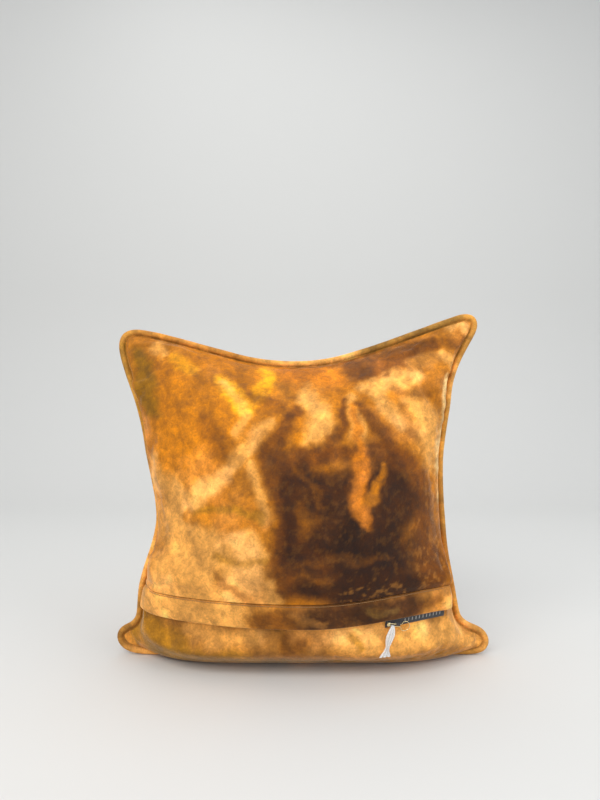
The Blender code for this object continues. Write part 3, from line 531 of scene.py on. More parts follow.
def add(name, points, faces, slot, replaced, body="cover", sharp=45):
    """A closed body as one named piece that rides on a CAD body."""
    mesh = bpy.data.meshes.new(name)
    points = np.asarray(points) + SHIFT
    mesh.from_pydata(points.tolist(), [], faces)
    shape = bmesh.new()
    shape.from_mesh(mesh)
    bmesh.ops.recalc_face_normals(shape, faces=shape.faces)
    shape.to_mesh(mesh)
    shape.free()
    mesh.shade_smooth()
    mesh.set_sharp_from_angle(angle=math.radians(sharp))
    piece = bpy.data.objects.new(name, mesh)
    bpy.context.scene.collection.objects.link(piece)
    mesh.materials.append(FINISH[slot])
    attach(piece, body)
    if replaced:
        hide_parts(*replaced)
    return piece


def between(name, outer, inner, slot, replaced, **more):
    """The solid between two grids of points, closed round its rim."""
    rows, columns = outer.shape[:2]
    points = np.concatenate([outer.reshape(-1, 3), inner.reshape(-1, 3)])
    number = np.arange(rows * columns).reshape(rows, columns)
    quads = np.stack([number[:-1, :-1], number[:-1, 1:], number[1:, 1:], number[1:, :-1]],
                     axis=-1).reshape(-1, 4)
    faces = quads.tolist() + (quads[:, ::-1] + rows * columns).tolist()
    rim = list(number[0, :-1]) + list(number[:-1, -1])
    rim += list(number[-1, :0:-1]) + list(number[:0:-1, 0])
    for a, b in zip(rim, rim[1:] + rim[:1]):
        faces.append((int(b), int(a), int(a) + rows * columns, int(b) + rows * columns))
    return add(name, points, faces, slot, replaced, **more)


def swept(name, rings, slot, replaced, closed=False, **more):
    """A solid through rings of points: joined end to start, or with flat ends."""
    count, around = rings.shape[:2]
    faces = []
    for i in range(count if closed else count - 1):
        first, second = i * around, (i + 1) % count * around
        for j in range(around):
            k = (j + 1) % around
            faces.append((first + j, first + k, second + k, second + j))
    if not closed:
        faces.append(tuple(range(around)))
        faces.append(tuple(range((count - 1) * around, count * around))[::-1])
    return add(name, rings.reshape(-1, 3), faces, slot, replaced, **more)


def tube_rings(line, radius, sides, closed=False):
    """Rings round a line of points, without twist; radius is one value or one for each."""
    line = np.asarray(line, float)
    radius = np.broadcast_to(radius, len(line))
    if closed:
        along = np.roll(line, -1, axis=0) - np.roll(line, 1, axis=0)
    else:
        along = np.gradient(line, axis=0)
    along /= np.linalg.norm(along, axis=1)[:, None]
    helper = np.array([0.0, 1.0, 0.0]) if abs(along[0, 1]) < 0.9 else np.array([1.0, 0.0, 0.0])
    rings, side = [], np.cross(along[0], helper)
    turns = np.arange(sides) * 2 * math.pi / sides
    for place, forward, r in zip(line, along, radius):
        side = side - forward * (side @ forward)
        side /= np.linalg.norm(side)
        up = np.cross(forward, side)
        rings.append(place + r * (np.cos(turns)[:, None] * side + np.sin(turns)[:, None] * up))
    return np.array(rings)


def paint(piece, name, colours):
    """Stores one colour for each point of a piece."""
    layer = piece.data.color_attributes.new(name, "FLOAT_COLOR", "POINT")
    flat = np.ones((len(piece.data.vertices), 4), dtype=np.float32)
    flat[:, :3] = colours
    layer.data.foreach_set("color", flat.ravel())


def places_of(piece):
    """The points of a piece in the cover's own frame."""
    flat = np.empty(len(piece.data.vertices) * 3, dtype=np.float32)
    piece.data.vertices.foreach_get("co", flat)
    return flat.reshape(-1, 3).astype(float) - SHIFT


# Dye, with the crushed pile's painted sheen and shade ----


def tone(red, green, blue):
    """A linear colour from 0 to 255 values as a screen shows them."""
    share = np.array([red, green, blue]) / 255
    return np.where(share <= 0.04045, share / 12.92, ((share + 0.055) / 1.055) ** 2.4)


PEACH = tone(230, 164, 84)
SHEEN_CREAM = tone(242, 202, 138)
TAN = tone(186, 124, 52)
AMBER = tone(186, 114, 6)
YELLOW = tone(240, 166, 22)
ORANGE = tone(206, 122, 18)
OLIVE = tone(136, 98, 6)
OCHRE = tone(164, 112, 18)
KHAKI = tone(148, 108, 48)
BROWN = tone(112, 62, 8)
DARK = tone(66, 34, 7)
DARKEST = tone(40, 20, 5)
BLEEDS_INTO = {BROWN.tobytes(): AMBER, DARK.tobytes(): BROWN}  # the ring round a darker stroke

SOFT_EDGE = 0.0045  # how far every stroke bleeds out past its own width

# The dye, as brush strokes: colour, strength, then places on the stroke's line as x, height and
# half width in millimetres. Later strokes lie over earlier ones.
# Two of the strokes below are painted sheen rather than dye: pale strips down the left and right
# edges.
ZIP_STROKES = [
    (PEACH, 0.90, [(-150, 215, 30), (-140, 160, 48), (-80, 130, 60), (-150, 115, 45)]),
    (AMBER, 0.95, [(-195, 360, 30), (-150, 320, 55), (-115, 290, 45), (-70, 345, 40)]),
    (OLIVE, 0.75, [(-215, 385, 12), (-203, 350, 15), (-192, 312, 10)]),
    (AMBER, 0.80, [(-160, 262, 14), (-140, 235, 14), (-100, 222, 14)]),
    # Painted sheen: a pale strip down the left edge, where the face turns away.
    (PEACH, 0.80, [(-186, 262, 5), (-178, 225, 10)]),
    (BROWN, 0.50, [(-112, 300, 9), (-100, 272, 15), (-92, 252, 6)]),
    (PEACH, 0.75, [(-128, 212, 12), (-95, 245, 9), (-62, 275, 8), (-40, 300, 8)]),
    (PEACH, 0.70, [(-62, 250, 6), (-50, 222, 8), (-46, 200, 7)]),
    (YELLOW, 0.90, [(-104, 352, 6), (-84, 336, 9), (-70, 318, 8)]),
    (YELLOW, 0.90, [(-56, 362, 4), (-44, 350, 8), (-60, 330, 6)]),
    (PEACH, 0.55, [(-100, 348, 2), (-80, 331, 3), (-68, 308, 5), (-76, 288, 4)]),
    (YELLOW, 0.50, [(-168, 376, 6), (-140, 366, 7)]),
    (PEACH, 0.70, [(-192, 398, 7), (-182, 386, 7)]),
    (BROWN, 0.60, [(-62, 333, 6), (-42, 325, 9), (-25, 320, 6)]),
    (BROWN, 0.85, [(-8, 316, 5), (-18, 296, 10), (-36, 266, 18), (-32, 240, 15), (-26, 215, 14)]),
    (ORANGE, 0.80, [(-30, 358, 9), (0, 354, 13), (40, 352, 14)]),
    (BROWN, 0.60, [(-20, 370, 3), (30, 368, 4), (60, 371, 6)]),
    (BROWN, 0.85, [(55, 362, 9), (95, 366, 13), (130, 379, 12), (165, 396, 9)]),
    (DARK, 0.45, [(80, 376, 3), (120, 390, 4), (165, 406, 4)]),
    (PEACH, 0.90, [(68, 346, 6), (105, 350, 9), (140, 356, 8)]),
    (TAN, 0.85, [(135, 368, 7), (160, 376, 9), (182, 384, 9)]),
    (PEACH, 0.95, [(0, 334, 8), (16, 315, 17), (22, 293, 19), (14, 272, 11)]),
    (PEACH, 0.90, [(60, 330, 5), (66, 300, 10), (68, 270, 9)]),
    (PEACH, 0.90, [(88, 338, 6), (106, 318, 11), (124, 298, 11)]),
    (PEACH, 0.90, [(136, 330, 15), (150, 300, 18), (152, 268, 15), (152, 240, 8)]),
    (BROWN, 0.50, [(124, 322, 3), (134, 300, 5), (138, 283, 5)]),
    (BROWN, 0.50, [(110, 345, 3), (135, 341, 5), (155, 338, 3)]),
    (BROWN, 0.92, [(-15, 255, 15), (25, 262, 12), (95, 268, 13), (125, 258, 16)]),
    (BROWN, 0.92, [(-22, 190, 17), (-25, 150, 16), (-18, 115, 17)]),
    (BROWN, 0.92, [(135, 235, 20), (145, 190, 20), (148, 140, 22), (148, 105, 18)]),
    (DARK, 0.95, [(5, 238, 16), (30, 215, 28), (95, 240, 20), (110, 205, 28), (50, 180, 42),
                  (15, 150, 32), (100, 150, 42), (45, 115, 30), (115, 112, 26), (5, 112, 16)]),
    (BROWN, 0.85, [(54, 326, 1), (48, 305, 5), (38, 285, 8), (30, 265, 12)]),
    (BROWN, 0.85, [(68, 322, 1), (84, 302, 6), (100, 282, 9), (112, 262, 14)]),
    (DARK, 0.90, [(-12, 232, 14), (-14, 190, 16), (-8, 150, 16)]),
    (DARKEST, 0.60, [(60, 185, 18), (50, 150, 28), (85, 145, 32), (105, 175, 18)]),
    (ORANGE, 0.85, [(63, 318, 2), (65, 290, 5), (66, 258, 7), (66, 226, 7), (70, 204, 10),
                    (76, 190, 5)]),
    (AMBER, 0.75, [(92, 252, 2), (88, 236, 4), (82, 212, 7)]),
    (AMBER, 0.20, [(-4, 250, 1), (14, 228, 2), (28, 206, 1)]),
    (AMBER, 0.14, [(-24, 141, 2), (20, 146, 3), (60, 146, 2), (100, 150, 1)]),
    (AMBER, 0.75, [(-135, 196, 7), (-100, 186, 11), (-60, 188, 8)]),
    (OCHRE, 0.75, [(-124, 200, 2), (-84, 205, 3), (-50, 197, 4)]),
    (PEACH, 0.85, [(-84, 174, 9), (-60, 167, 13), (-50, 158, 9)]),
    (OCHRE, 0.60, [(-102, 153, 2), (-72, 150, 3), (-44, 153, 4)]),
    (BROWN, 0.55, [(-98, 134, 4), (-80, 118, 7), (-58, 106, 8)]),
    (PEACH, 0.70, [(-36, 126, 3), (-34, 112, 6), (-32, 98, 6)]),
    # Painted sheen: a near-white strip down the right edge, where the face turns away.
    (SHEEN_CREAM, 0.70, [(186, 350, 3), (178, 320, 4), (172, 280, 5), (170, 240, 5), (170, 205, 4)]),
    (PEACH, 0.85, [(192, 424, 8), (210, 427, 8), (216, 414, 8)]),
    (BROWN, 0.60, [(180, 404, 5), (198, 400, 5), (208, 405, 4)]),
    (PEACH, 0.80, [(176, 384, 6), (196, 372, 9)]),
]
# Lines along which the pile is worn pale in flecks, in the same units.
ZIP_WORN = [[(150, 205, 16), (156, 165, 22), (150, 125, 22), (112, 106, 16), (50, 104, 14)]]
FLAP_STROKES = [
    (PEACH, 0.92, [(-205, 80, 22), (-130, 80, 26), (-75, 80, 22)]),
    (BROWN, 0.75, [(-42, 76, 12), (-12, 84, 14)]),
    (DARK, 0.90, [(15, 80, 18), (70, 82, 22), (125, 86, 18)]),
    (TAN, 0.50, [(-10, 88, 3), (12, 80, 4), (30, 74, 2)]),
    (KHAKI, 0.50, [(80, 90, 3), (104, 84, 4)]),
    (BROWN, 0.60, [(140, 84, 8), (160, 90, 8)]),
    (PEACH, 0.90, [(180, 84, 8), (192, 84, 10)]),
]
LOWER_STROKES = [
    (OCHRE, 0.90, [(-210, 55, 18), (-180, 38, 26), (-150, 30, 20)]),
    (PEACH, 0.60, [(-135, 55, 10), (-95, 48, 14), (-60, 52, 10)]),
    (OLIVE, 0.60, [(-180, 18, 12), (-100, 20, 12), (-20, 12, 10), (60, 8, 6)]),
    (BROWN, 0.60, [(-24, 54, 5), (-16, 38, 7), (0, 44, 7)]),
    (PEACH, 0.92, [(40, 48, 14), (90, 44, 20), (140, 44, 22), (190, 40, 20)]),
    (OCHRE, 0.70, [(55, 50, 4), (62, 40, 5)]),
    (OCHRE, 0.60, [(30, 12, 6), (100, 9, 5), (180, 9, 5)]),
    (TAN, 0.80, [(-228, 30, 12), (-212, 18, 8)]),
    (OLIVE, 0.60, [(-214, 34, 6), (-208, 16, 5)]),
    (PEACH, 0.90, [(208, 20, 9), (224, 26, 9)]),
]
PIPING_STROKES = [
    (TAN, 0.80, [(-210, 412, 14), (-120, 390, 12), (-60, 374, 8)]),
    (PEACH, 0.60, [(-50, 374, 8), (20, 374, 8), (60, 384, 8)]),
    (KHAKI, 0.80, [(80, 390, 8), (140, 410, 9), (200, 430, 9)]),
    (OLIVE, 0.60, [(-238, 395, 10), (-228, 350, 10), (-205, 290, 10)]),
    (PEACH, 0.80, [(-190, 150, 10), (-208, 90, 12)]),
    (TAN, 0.80, [(190, 90, 12), (182, 150, 10)]),
    (PEACH, 0.80, [(222, 10, 10), (233, 26, 10), (212, 38, 8)]),
]


def far_strokes():
    """Random brush strokes for the side that faces away; its real dye is not known."""
    draw = np.random.default_rng(41)
    colours = [AMBER, BROWN, PEACH, DARK, ORANGE, TAN, PEACH, BROWN, YELLOW, DARKEST]
    strokes = []
    for k in range(54):
        start = np.array([draw.uniform(-190, 190), draw.uniform(20, 380)])
        turn = draw.uniform(0, math.pi)
        wide = draw.uniform(24, 44) if k < 14 else draw.uniform(7, 18)
        run = draw.uniform(20, 70) * np.array([math.cos(turn), math.sin(turn)])
        bend = draw.uniform(-14, 14, 2)
        line = [(*start, wide * 0.6), (*(start + run / 2 + bend), wide), (*(start + run), wide / 3)]
        strokes.append((colours[k % len(colours)], 0.75, line))
    return strokes


def stroke_share(x, z, line, wider=0.0):
    """How much of a stroke's dye reaches each place; wider is a ring added all round it."""
    share = np.zeros(x.shape)
    for at_x, at_z, half in through(np.array(line) / 1000, 9 * len(line)):
        half = max(half, 0.001) + wider
        beyond = np.hypot(x - at_x, z - at_z) - 0.35 * half
        share = np.maximum(share, 1 - smooth_step(beyond / (0.80 * half + SOFT_EDGE)))
    return share


def dyed(points, base, strokes, seed, worn_strokes=()):
    """The velvet's colour at each place: its dye, with painted sheen, highlights and shade of the
    crushed pile.
    """
    bend = [fractal(points, 24, seed + k, 5) * 0.0095 for k in (0, 50)]
    fine = [fractal(points, 130, seed + k, 4) * 0.0022 for k in (100, 150)]
    x = points[:, 0] + bend[0] + fine[0]
    z = points[:, 2] + bend[1] + fine[1]
    colour = np.tile(base, (len(points), 1))
    drift = smooth_step(0.5 + 0.8 * fractal(points, 18, seed + 200, 4))[:, None]
    colour = colour + drift * (TAN - colour) * 0.4
    for tint, strength, line in strokes:
        ring = BLEEDS_INTO.get(tint.tobytes())
        if ring is not None:
            share = 0.6 * strength * stroke_share(x, z, line, 0.0050)[:, None]
            colour = colour + share * (np.minimum(colour, ring) - colour)
        colour = colour + strength * stroke_share(x, z, line)[:, None] * (tint - colour)
    # Painted shade: the shadows within the pile deepen every colour, and leave it a little more
    # golden.
    colour = np.array([1.08, 1.17, 1.25]) * np.maximum(colour, 0.0) ** 1.14
    # Painted sheen and shade of the crushed pile: nap and mottle brighten and darken the dye by the
    # lie of the pile, partly its uneven tone, and the veins are pale lines of painted sheen along
    # the crush.
    brushed = np.stack([points[:, 0] * 0.9 + points[:, 2] * 0.4,
                        points[:, 1] * 0.5, points[:, 2] * 0.35 - points[:, 0] * 0.15], axis=-1)
    nap_sheen_and_shade = fractal(brushed, 42, seed + 300, 5)
    mottle = fractal(points, 85, seed + 350, 4)
    vein_sheen = smooth_step(1 - np.abs(noise(brushed, 34, seed + 700)) / 0.07)
    colour = colour * np.exp(0.46 * nap_sheen_and_shade + 0.24 * mottle + 0.16 * vein_sheen)[:, None]
    # Painted highlights: large patches where the crushed pile catches the light are brightened.
    painted_highlight = smooth_step((fractal(points, 17, seed + 600, 5) - 0.05) / 0.55)[:, None]
    colour = colour * (1 + 0.30 * painted_highlight) + 0.08 * painted_highlight * colour.mean(axis=1)[:, None]
    rubbed = 0.22 * np.ones(len(points))
    for line in worn_strokes:
        rubbed = np.maximum(rubbed, stroke_share(x, z, line, 0.006))
    worn = smooth_step((fractal(points, 190, seed + 400, 4) - 0.08) / 0.55)
    lighter = colour * 1.2 + 0.34 * (TAN - colour)
    return np.clip(colour + (rubbed * worn)[:, None] * (lighter - colour), 0.002, 1)


# Materials ----


class Nodes:
    """A short way to build a material out of nodes."""

    def __init__(self, name):
        self.material = bpy.data.materials.new(name)
        self.material.use_nodes = True
        self.tree = self.material.node_tree
        self.shader = self.tree.nodes["Principled BSDF"]
        self.place = self.tree.nodes.new("ShaderNodeTexCoord").outputs["Object"]

    def put(self, value, socket):
        """Gives a socket a number, a colour or another node's output."""
        if isinstance(value, bpy.types.NodeSocket):
            self.tree.links.new(value, socket)
        elif hasattr(value, "__len__"):
            socket.default_value = (*value, 1.0)
        else:
            socket.default_value = value

    def node(self, kind, inputs, **settings):
        """A new node, with its settings and then its inputs by name or number."""
        node = self.tree.nodes.new("ShaderNode" + kind)
        for name, value in settings.items():
            setattr(node, name, value)
        for key, value in inputs.items():
            self.put(value, node.inputs[key])
        return node

    def noise(self, scale, detail=4.0, roughness=0.6, distortion=0.0):
        inputs = {"Scale": scale, "Detail": detail, "Roughness": roughness,
                  "Distortion": distortion, "Vector": self.place}
        return self.node("TexNoise", inputs).outputs["Fac"]

    def wave(self, scale, way, distortion=0.0):
        inputs = {"Scale": scale, "Distortion": distortion, "Vector": self.place}
        return self.node("TexWave", inputs, bands_direction=way).outputs["Fac"]

    def spread(self, value, low, high, out_low=0.0, out_high=1.0):
        inputs = {"Value": value, 1: low, 2: high, 3: out_low, 4: out_high}
        return self.node("MapRange", inputs).outputs["Result"]

    def math(self, operation, first, second):
        return self.node("Math", {0: first, 1: second}, operation=operation).outputs["Value"]

    def mix(self, share, first, second, blend="MIX"):
        inputs = {0: share, 6: first, 7: second}
        return self.node("Mix", inputs, data_type="RGBA", blend_type=blend).outputs[2]

    def attribute(self, name):
        return self.node("VertexColor", {}, layer_name=name).outputs["Color"]

    def bump(self, height, strength, distance, before=None):
        inputs = {"Strength": strength, "Distance": distance, "Height": height}
        if before is not None:
            inputs["Normal"] = before
        return self.node("Bump", inputs).outputs["Normal"]

    def finish(self, colour, roughness, normal, **fixed):
        for name, value in (("Base Color", colour), ("Roughness", roughness), ("Normal", normal)):
            self.put(value, self.shader.inputs[name])
        for name, value in fixed.items():
            self.shader.inputs[name.replace("_", " ")].default_value = value
        return self.material


def velvet_finish(name, pile):
    """Dyed velvet: the painted dye, the crushed pile's light and shade painted into it, and a pale
    sheen.
    """
    made = Nodes(name)
    crushed = made.noise(95, 6, 0.68, 0.6)
    flecks = made.noise(420, 3, 0.7)
    # Painted light and shade of the crushed pile: its patches and fine flecks brighten and darken
    # the dye.
    shade = made.math("MULTIPLY", made.spread(crushed, 0.30, 0.70, 0.66, 1.34),
                      made.spread(flecks, 0.30, 0.70, 0.84, 1.18))
    colour = made.mix(1.0, made.attribute("dye"), shade, "MULTIPLY")
    dents = made.bump(made.noise(70, 5, 0.6, 0.8), 0.30, 0.0022)
    fibres = made.bump(made.noise(1500, 3, 0.7), pile, 0.0006, dents)
    return made.finish(colour, made.spread(crushed, 0.3, 0.7, 0.62, 0.86), fibres,
                       Sheen_Weight=0.48, Sheen_Roughness=0.30,
                       Sheen_Tint=(1.0, 0.88, 0.68, 1.0), Specular_IOR_Level=0.25)


def woven_finish(name, light, dark, per_metre, strength, **fixed):
    """Plain-woven cloth: threads both ways, with slight soiling."""
    made = Nodes(name)
    upright = made.wave(per_metre, "Z")
    across = made.wave(per_metre, "X")
    threads = made.math("MULTIPLY", upright, across)
    colour = made.mix(made.spread(threads, 0.0, 0.7), dark, light)
    uneven = made.spread(made.noise(60, 4), 0.3, 0.7, 0.9, 1.06)
    colour = made.mix(1.0, colour, uneven, "MULTIPLY")
    return made.finish(colour, 0.85, made.bump(threads, strength, 0.0004), **fixed)


def fluff_finish(name, light, dark):
    """Loose fibre, for the filling and the piping's cord."""
    made = Nodes(name)
    strands = made.noise(240, 6, 0.75, 2.0)
    colour = made.mix(made.spread(strands, 0.3, 0.7), dark, light)
    return made.finish(colour, 0.95, made.bump(strands, 0.8, 0.0020), Sheen_Weight=0.3)


def thread_finish(name, light, dark):
    made = Nodes(name)
    twist = made.wave(900, "DIAGONAL", 1.0)
    colour = made.mix(twist, dark, light)
    return made.finish(colour, 0.6, made.bump(twist, 0.5, 0.0002), Sheen_Weight=0.3)


def metal_finish(name, colour, roughness):
    made = Nodes(name)
    rub = made.noise(700, 4, 0.6)
    shade = made.mix(made.spread(rub, 0.3, 0.7), tuple(0.82 * c for c in colour), colour)
    dull = made.spread(made.noise(180, 3), 0.3, 0.7, roughness * 0.75, roughness * 1.35)
    return made.finish(shade, dull, made.bump(rub, 0.08, 0.0002), Metallic=1.0)


def nylon_finish(name, light, dark):
    made = Nodes(name)
    uneven = made.noise(500, 3)
    colour = made.mix(made.spread(uneven, 0.3, 0.7), dark, light)
    return made.finish(colour, 0.38, made.bump(uneven, 0.1, 0.0002))


def label_finish(name):
    """Charcoal satin weave; the painted marks are its pale weft."""
    made = Nodes(name)
    weft = made.wave(1100, "Z", 0.4)
    colour = made.mix(1.0, made.attribute("weave"), made.spread(weft, 0, 1, 0.78, 1.15),
                      "MULTIPLY")
    return made.finish(colour, 0.62, made.bump(weft, 0.35, 0.0003), Sheen_Weight=0.15)


def gauze_finish(name):
    """White gauze, half see-through between its threads."""
    made = Nodes(name)
    threads = made.math("MAXIMUM", made.wave(700, "Z", 0.5), made.wave(700, "X", 0.5))
    alpha = made.spread(threads, 0.2, 0.9, 0.42, 0.92)
    made.put(alpha, made.shader.inputs["Alpha"])
    return made.finish((0.86, 0.86, 0.85), 0.55, made.bump(threads, 0.4, 0.0003),
                       Sheen_Weight=0.3)


FINISH = {
    "velvet": velvet_finish("velvet", 0.5),
    "piping_velvet": velvet_finish("piping_velvet", 0.45),
    "thread": thread_finish("thread", (0.44, 0.22, 0.06), (0.22, 0.10, 0.02)),
    "cotton_cord": fluff_finish("cotton_cord", (0.82, 0.78, 0.70), (0.62, 0.57, 0.48)),
    "ticking": woven_finish("ticking", (0.86, 0.84, 0.78), (0.68, 0.65, 0.58), 500, 0.4),
    "filling": fluff_finish("filling", (0.93, 0.92, 0.88), (0.74, 0.73, 0.70)),
    "zip_tape": woven_finish("zip_tape", (0.46, 0.27, 0.09), (0.24, 0.13, 0.04), 600, 0.5),
    "zip_coil": nylon_finish("zip_coil", (0.42, 0.25, 0.09), (0.30, 0.17, 0.06)),
    "zip_metal": metal_finish("zip_metal", (0.52, 0.46, 0.36), 0.36),
    "label": label_finish("label"),
    "brass": metal_finish("brass", (0.83, 0.68, 0.38), 0.22),
    "gauze": gauze_finish("gauze"),
}


# Cover ----

COLUMNS = spaced(232, 0.35)


def upper_panel():
    first = ZIP_FACE.row(UPPER_FROM)
    u, w = np.meshgrid(COLUMNS, first + (1 - first) * (spaced(158, 0.35) + 1) / 2)
    w = w + band_rise(u * BAND_HALF_WIDTH) / ZIP_FACE.length * (1 - w) / (1 - first)
    off = folds(ZIP_FACE, u, w, 3)
    piece = between("velvet_upper_zip_side", ZIP_FACE.place(u, w, off),
                    ZIP_FACE.place(u, w, -VELVET), "velvet", ["back_panel_upper"])
    paint(piece, "dye", dyed(places_of(piece), AMBER, ZIP_STROKES, 5, ZIP_WORN))
    return piece


def lower_panel_place(u, w, n):
    """The lower panel tucks under the flap, and reaches up beside it at the side seams."""
    s = (w - ZIP_FACE.flap_w) * ZIP_FACE.length
    rise = band_rise(u * BAND_HALF_WIDTH)
    near_top = smooth_step((s + 0.010) / 0.021)
    beside = smooth_step((np.abs(u) - 0.93) / 0.04) * near_top
    up = beside * (UPPER_FROM + rise - LOWER_TOP - 0.0016) + (1 - beside) * near_top * rise * 0.15
    depth = lower_panel_depth(s - rise) * smooth_step((1 - np.abs(u)) / 0.05)
    return ZIP_FACE.place(u, w + up / ZIP_FACE.length, depth + n)


def lower_panel():
    rows = np.concatenate([np.linspace(0, 0.10, 34, endpoint=False),
                           np.linspace(0.10, float(ZIP_FACE.row(LOWER_TOP)), 62)])
    u, w = np.meshgrid(COLUMNS, rows)
    off = folds(ZIP_FACE, u, w, 3)
    piece = between("velvet_lower_zip_side", lower_panel_place(u, w, off),
                    lower_panel_place(u, w, -VELVET), "velvet", ["back_panel_lower"])
    paint(piece, "dye", dyed(places_of(piece), TAN, LOWER_STROKES, 15))
    return piece


def far_panel():
    rows = np.concatenate([np.linspace(0, 0.10, 22, endpoint=False),
                           0.10 + 0.90 * (spaced(150, 0.3) + 1) / 2])
    u, w = np.meshgrid(COLUMNS, rows)
    off = folds(PLAIN_FACE, u, w, 31)
    piece = between("velvet_plain_side", PLAIN_FACE.place(u, w, off),
                    PLAIN_FACE.place(u, w, -VELVET), "velvet", ["front_panel"])
    paint(piece, "dye", dyed(places_of(piece), AMBER, far_strokes(), 25))
    return piece


def flap():
    """A strip folded double, with a dent along its stitches and a soft swell below them."""
    turn_r = VELVET + 0.00025
    inner_r = turn_r - VELVET
    fold = [(turn_r - turn_r * math.sin(a), -turn_r + turn_r * math.cos(a))
            for a in np.linspace(0, math.pi, 13)]
    hollow = [(turn_r - inner_r * math.sin(a), -turn_r - inner_r * math.cos(a))
              for a in np.linspace(0, math.pi, 7)]
    face_s = np.linspace(FLAP_DEPTH, turn_r, 22)[:-1]
    dent = 0.0009 * np.exp(-(((face_s - FLAP_DEPTH + 0.0015) / 0.0012) ** 2))
    swell = 0.0008 * np.sin(math.pi * np.clip(face_s / FLAP_DEPTH, 0, 1))
    section = [*zip(face_s, swell - dent), *fold]
    section += [(s, -2 * turn_r) for s in np.linspace(turn_r, FLAP_DEPTH - 0.002, 8)[1:]]
    section += [(FLAP_DEPTH - 0.002, -2 * turn_r + VELVET), *hollow, (FLAP_DEPTH, -VELVET)]
    s, n = np.array(section).T
    across = FLAP_END * COLUMNS[:, None]
    raised = ZIP_FACE.row(s[None, :] + band_rise(across * BAND_HALF_WIDTH))
    at = ZIP_FACE.point(across, raised)
    front = smooth_step((n + VELVET) / 0.001)[None, :]
    calm = smooth_step((FLAP_DEPTH - s) / 0.006)[None, :]
    ripple = front * calm * (0.0007 * noise(at, 40, 71) + 0.0003 * noise(at, 110, 72))
    rings = ZIP_FACE.place(across, raised, n[None, :] + ripple)
    piece = swept("velvet_zip_flap", rings, "velvet", ["zip_flap"])
    paint(piece, "dye", dyed(places_of(piece), TAN, FLAP_STROKES, 35))
    return piece


def topstitch():
    """Separate stitches, each a short arc of thread just over the dent in the flap."""
    count, per = 128, 7
    run = FLAP_END - 0.05
    edges = np.linspace(-run, run, count + 1)
    points, faces = [], []
    for k in range(count):
        u = np.linspace(edges[k], edges[k] + (edges[1] - edges[0]) * 0.82, per)
        share = np.linspace(0, math.pi, per)
        row = ZIP_FACE.row(FLAP_DEPTH - 0.0015 + band_rise(u * BAND_HALF_WIDTH))
        line = ZIP_FACE.place(u, row, -0.0001 + 0.0007 * np.sin(share))
        rings = tube_rings(line, 0.00030, 6)
        base = len(points)
        points += rings.reshape(-1, 3).tolist()
        for i in range(per - 1):
            for j in range(6):
                a, b = base + i * 6 + j, base + i * 6 + (j + 1) % 6
                faces.append((a, b, b + 6, a + 6))
        faces.append(tuple(base + j for j in range(6)))
        faces.append(tuple(base + (per - 1) * 6 + j for j in range(6))[::-1])
    return add("flap_stitches", points, faces, "thread", ["flap_topstitch"])


def piping():
    """The bias strip round its cord, a little uneven, and the twisted cord inside it."""
    seam_plane = np.array([0.0, -1.0, LEAN])
    seam_plane /= np.linalg.norm(seam_plane)
    places = np.stack([SEAM[:, 0], LEAN * SEAM[:, 1], SEAM[:, 1]], axis=1)
    outward = np.stack([SEAM_OUT[:, 0], LEAN * SEAM_OUT[:, 1], SEAM_OUT[:, 1]], axis=1)
    outward /= np.linalg.norm(outward, axis=1)[:, None]
    inner_r = PIPING_R - WRAP
    lip = 0.0002
    flange = WRAP - lip / 2
    outer = np.radians(np.linspace(166, -166, 23))
    inside = np.radians(np.linspace(-176, 176, 11))
    uneven = 1 - 0.05 * np.abs(noise(places, 60, 81)) - 0.03 * np.abs(noise(places, 170, 82))
    rings = []
    for place, out, r in zip(places, outward, uneven):
        section = [(-FLANGE_END, flange)]
        section += [(r * PIPING_R * math.cos(a), r * PIPING_R * math.sin(a)) for a in outer]
        section += [(-FLANGE_END, -flange), (-FLANGE_END, -lip)]
        section += [(inner_r * 0.94 * math.cos(a), inner_r * 0.94 * math.sin(a)) for a in inside]
        section += [(-FLANGE_END, lip)]
        rings.append([place + a * out + b * seam_plane for a, b in section])
    piece = swept("velvet_piping", np.array(rings), "piping_velvet", ["piping_cover"],
                  closed=True, sharp=70)
    paint(piece, "dye", dyed(places_of(piece), tone(198, 142, 66), PIPING_STROKES, 45))
    turns = np.linspace(0, 2 * math.pi, 13)[:-1]
    laid = []
    for k, (place, out) in enumerate(zip(places, outward)):
        lay = 2 * math.pi * k / 12
        radius = CORD_R * (0.90 + 0.10 * np.cos(3 * turns - lay))
        laid.append(place + (radius * np.cos(turns))[:, None] * out
                    + (radius * np.sin(turns))[:, None] * seam_plane)
    swept("piping_filler_cord", np.array(laid), "cotton_cord", ["piping_cord"], closed=True)
    return piece


# Insert ----


def room_for_zip(s):
    """How far the insert draws back from the cover's face, s up from the flap's fold."""
    under = -lower_panel_depth(np.minimum(s, 0.0)) + 0.0090 * smooth_step((s + 0.006) / 0.008)
    return under * (1 - smooth_step((s - FLAP_DEPTH - 0.001) / 0.028))


def insert_grid(face, rows, columns, shrink, rim_t):
    """The insert's surface: the cover's, shrunk towards its middle, clear of the ears and zip."""
    u, w = np.meshgrid(columns, rows)
    edge = np.maximum(-face.outline.side("left", w, face.marks)[..., 0],
                      face.outline.side("right", w, face.marks)[..., 0])
    low = smooth_step((0.26 - w) / 0.10)
    u = u * (1 - low * (1 - np.minimum(1.0, INSERT_HALF_WIDTH / edge)))
    x, y, z = np.moveaxis(face.point(u, w), -1, 0)
    thick = face.way * (y - LEAN * z) - PANEL_EDGE_T
    thick = thick * (1 - 1.2 * shrink)
    if face.way < 0:
        room = room_for_zip((w - face.flap_w) * face.length)
        thick = thick - room * smooth_step(thick / 0.030)
    x = x * (1 - shrink)
    z = INSERT_MIDDLE + (np.maximum(z, INSERT_BASE) - INSERT_MIDDLE) * (1 - shrink)
    return np.stack([x, LEAN * z + face.way * (rim_t + thick), z], axis=-1)


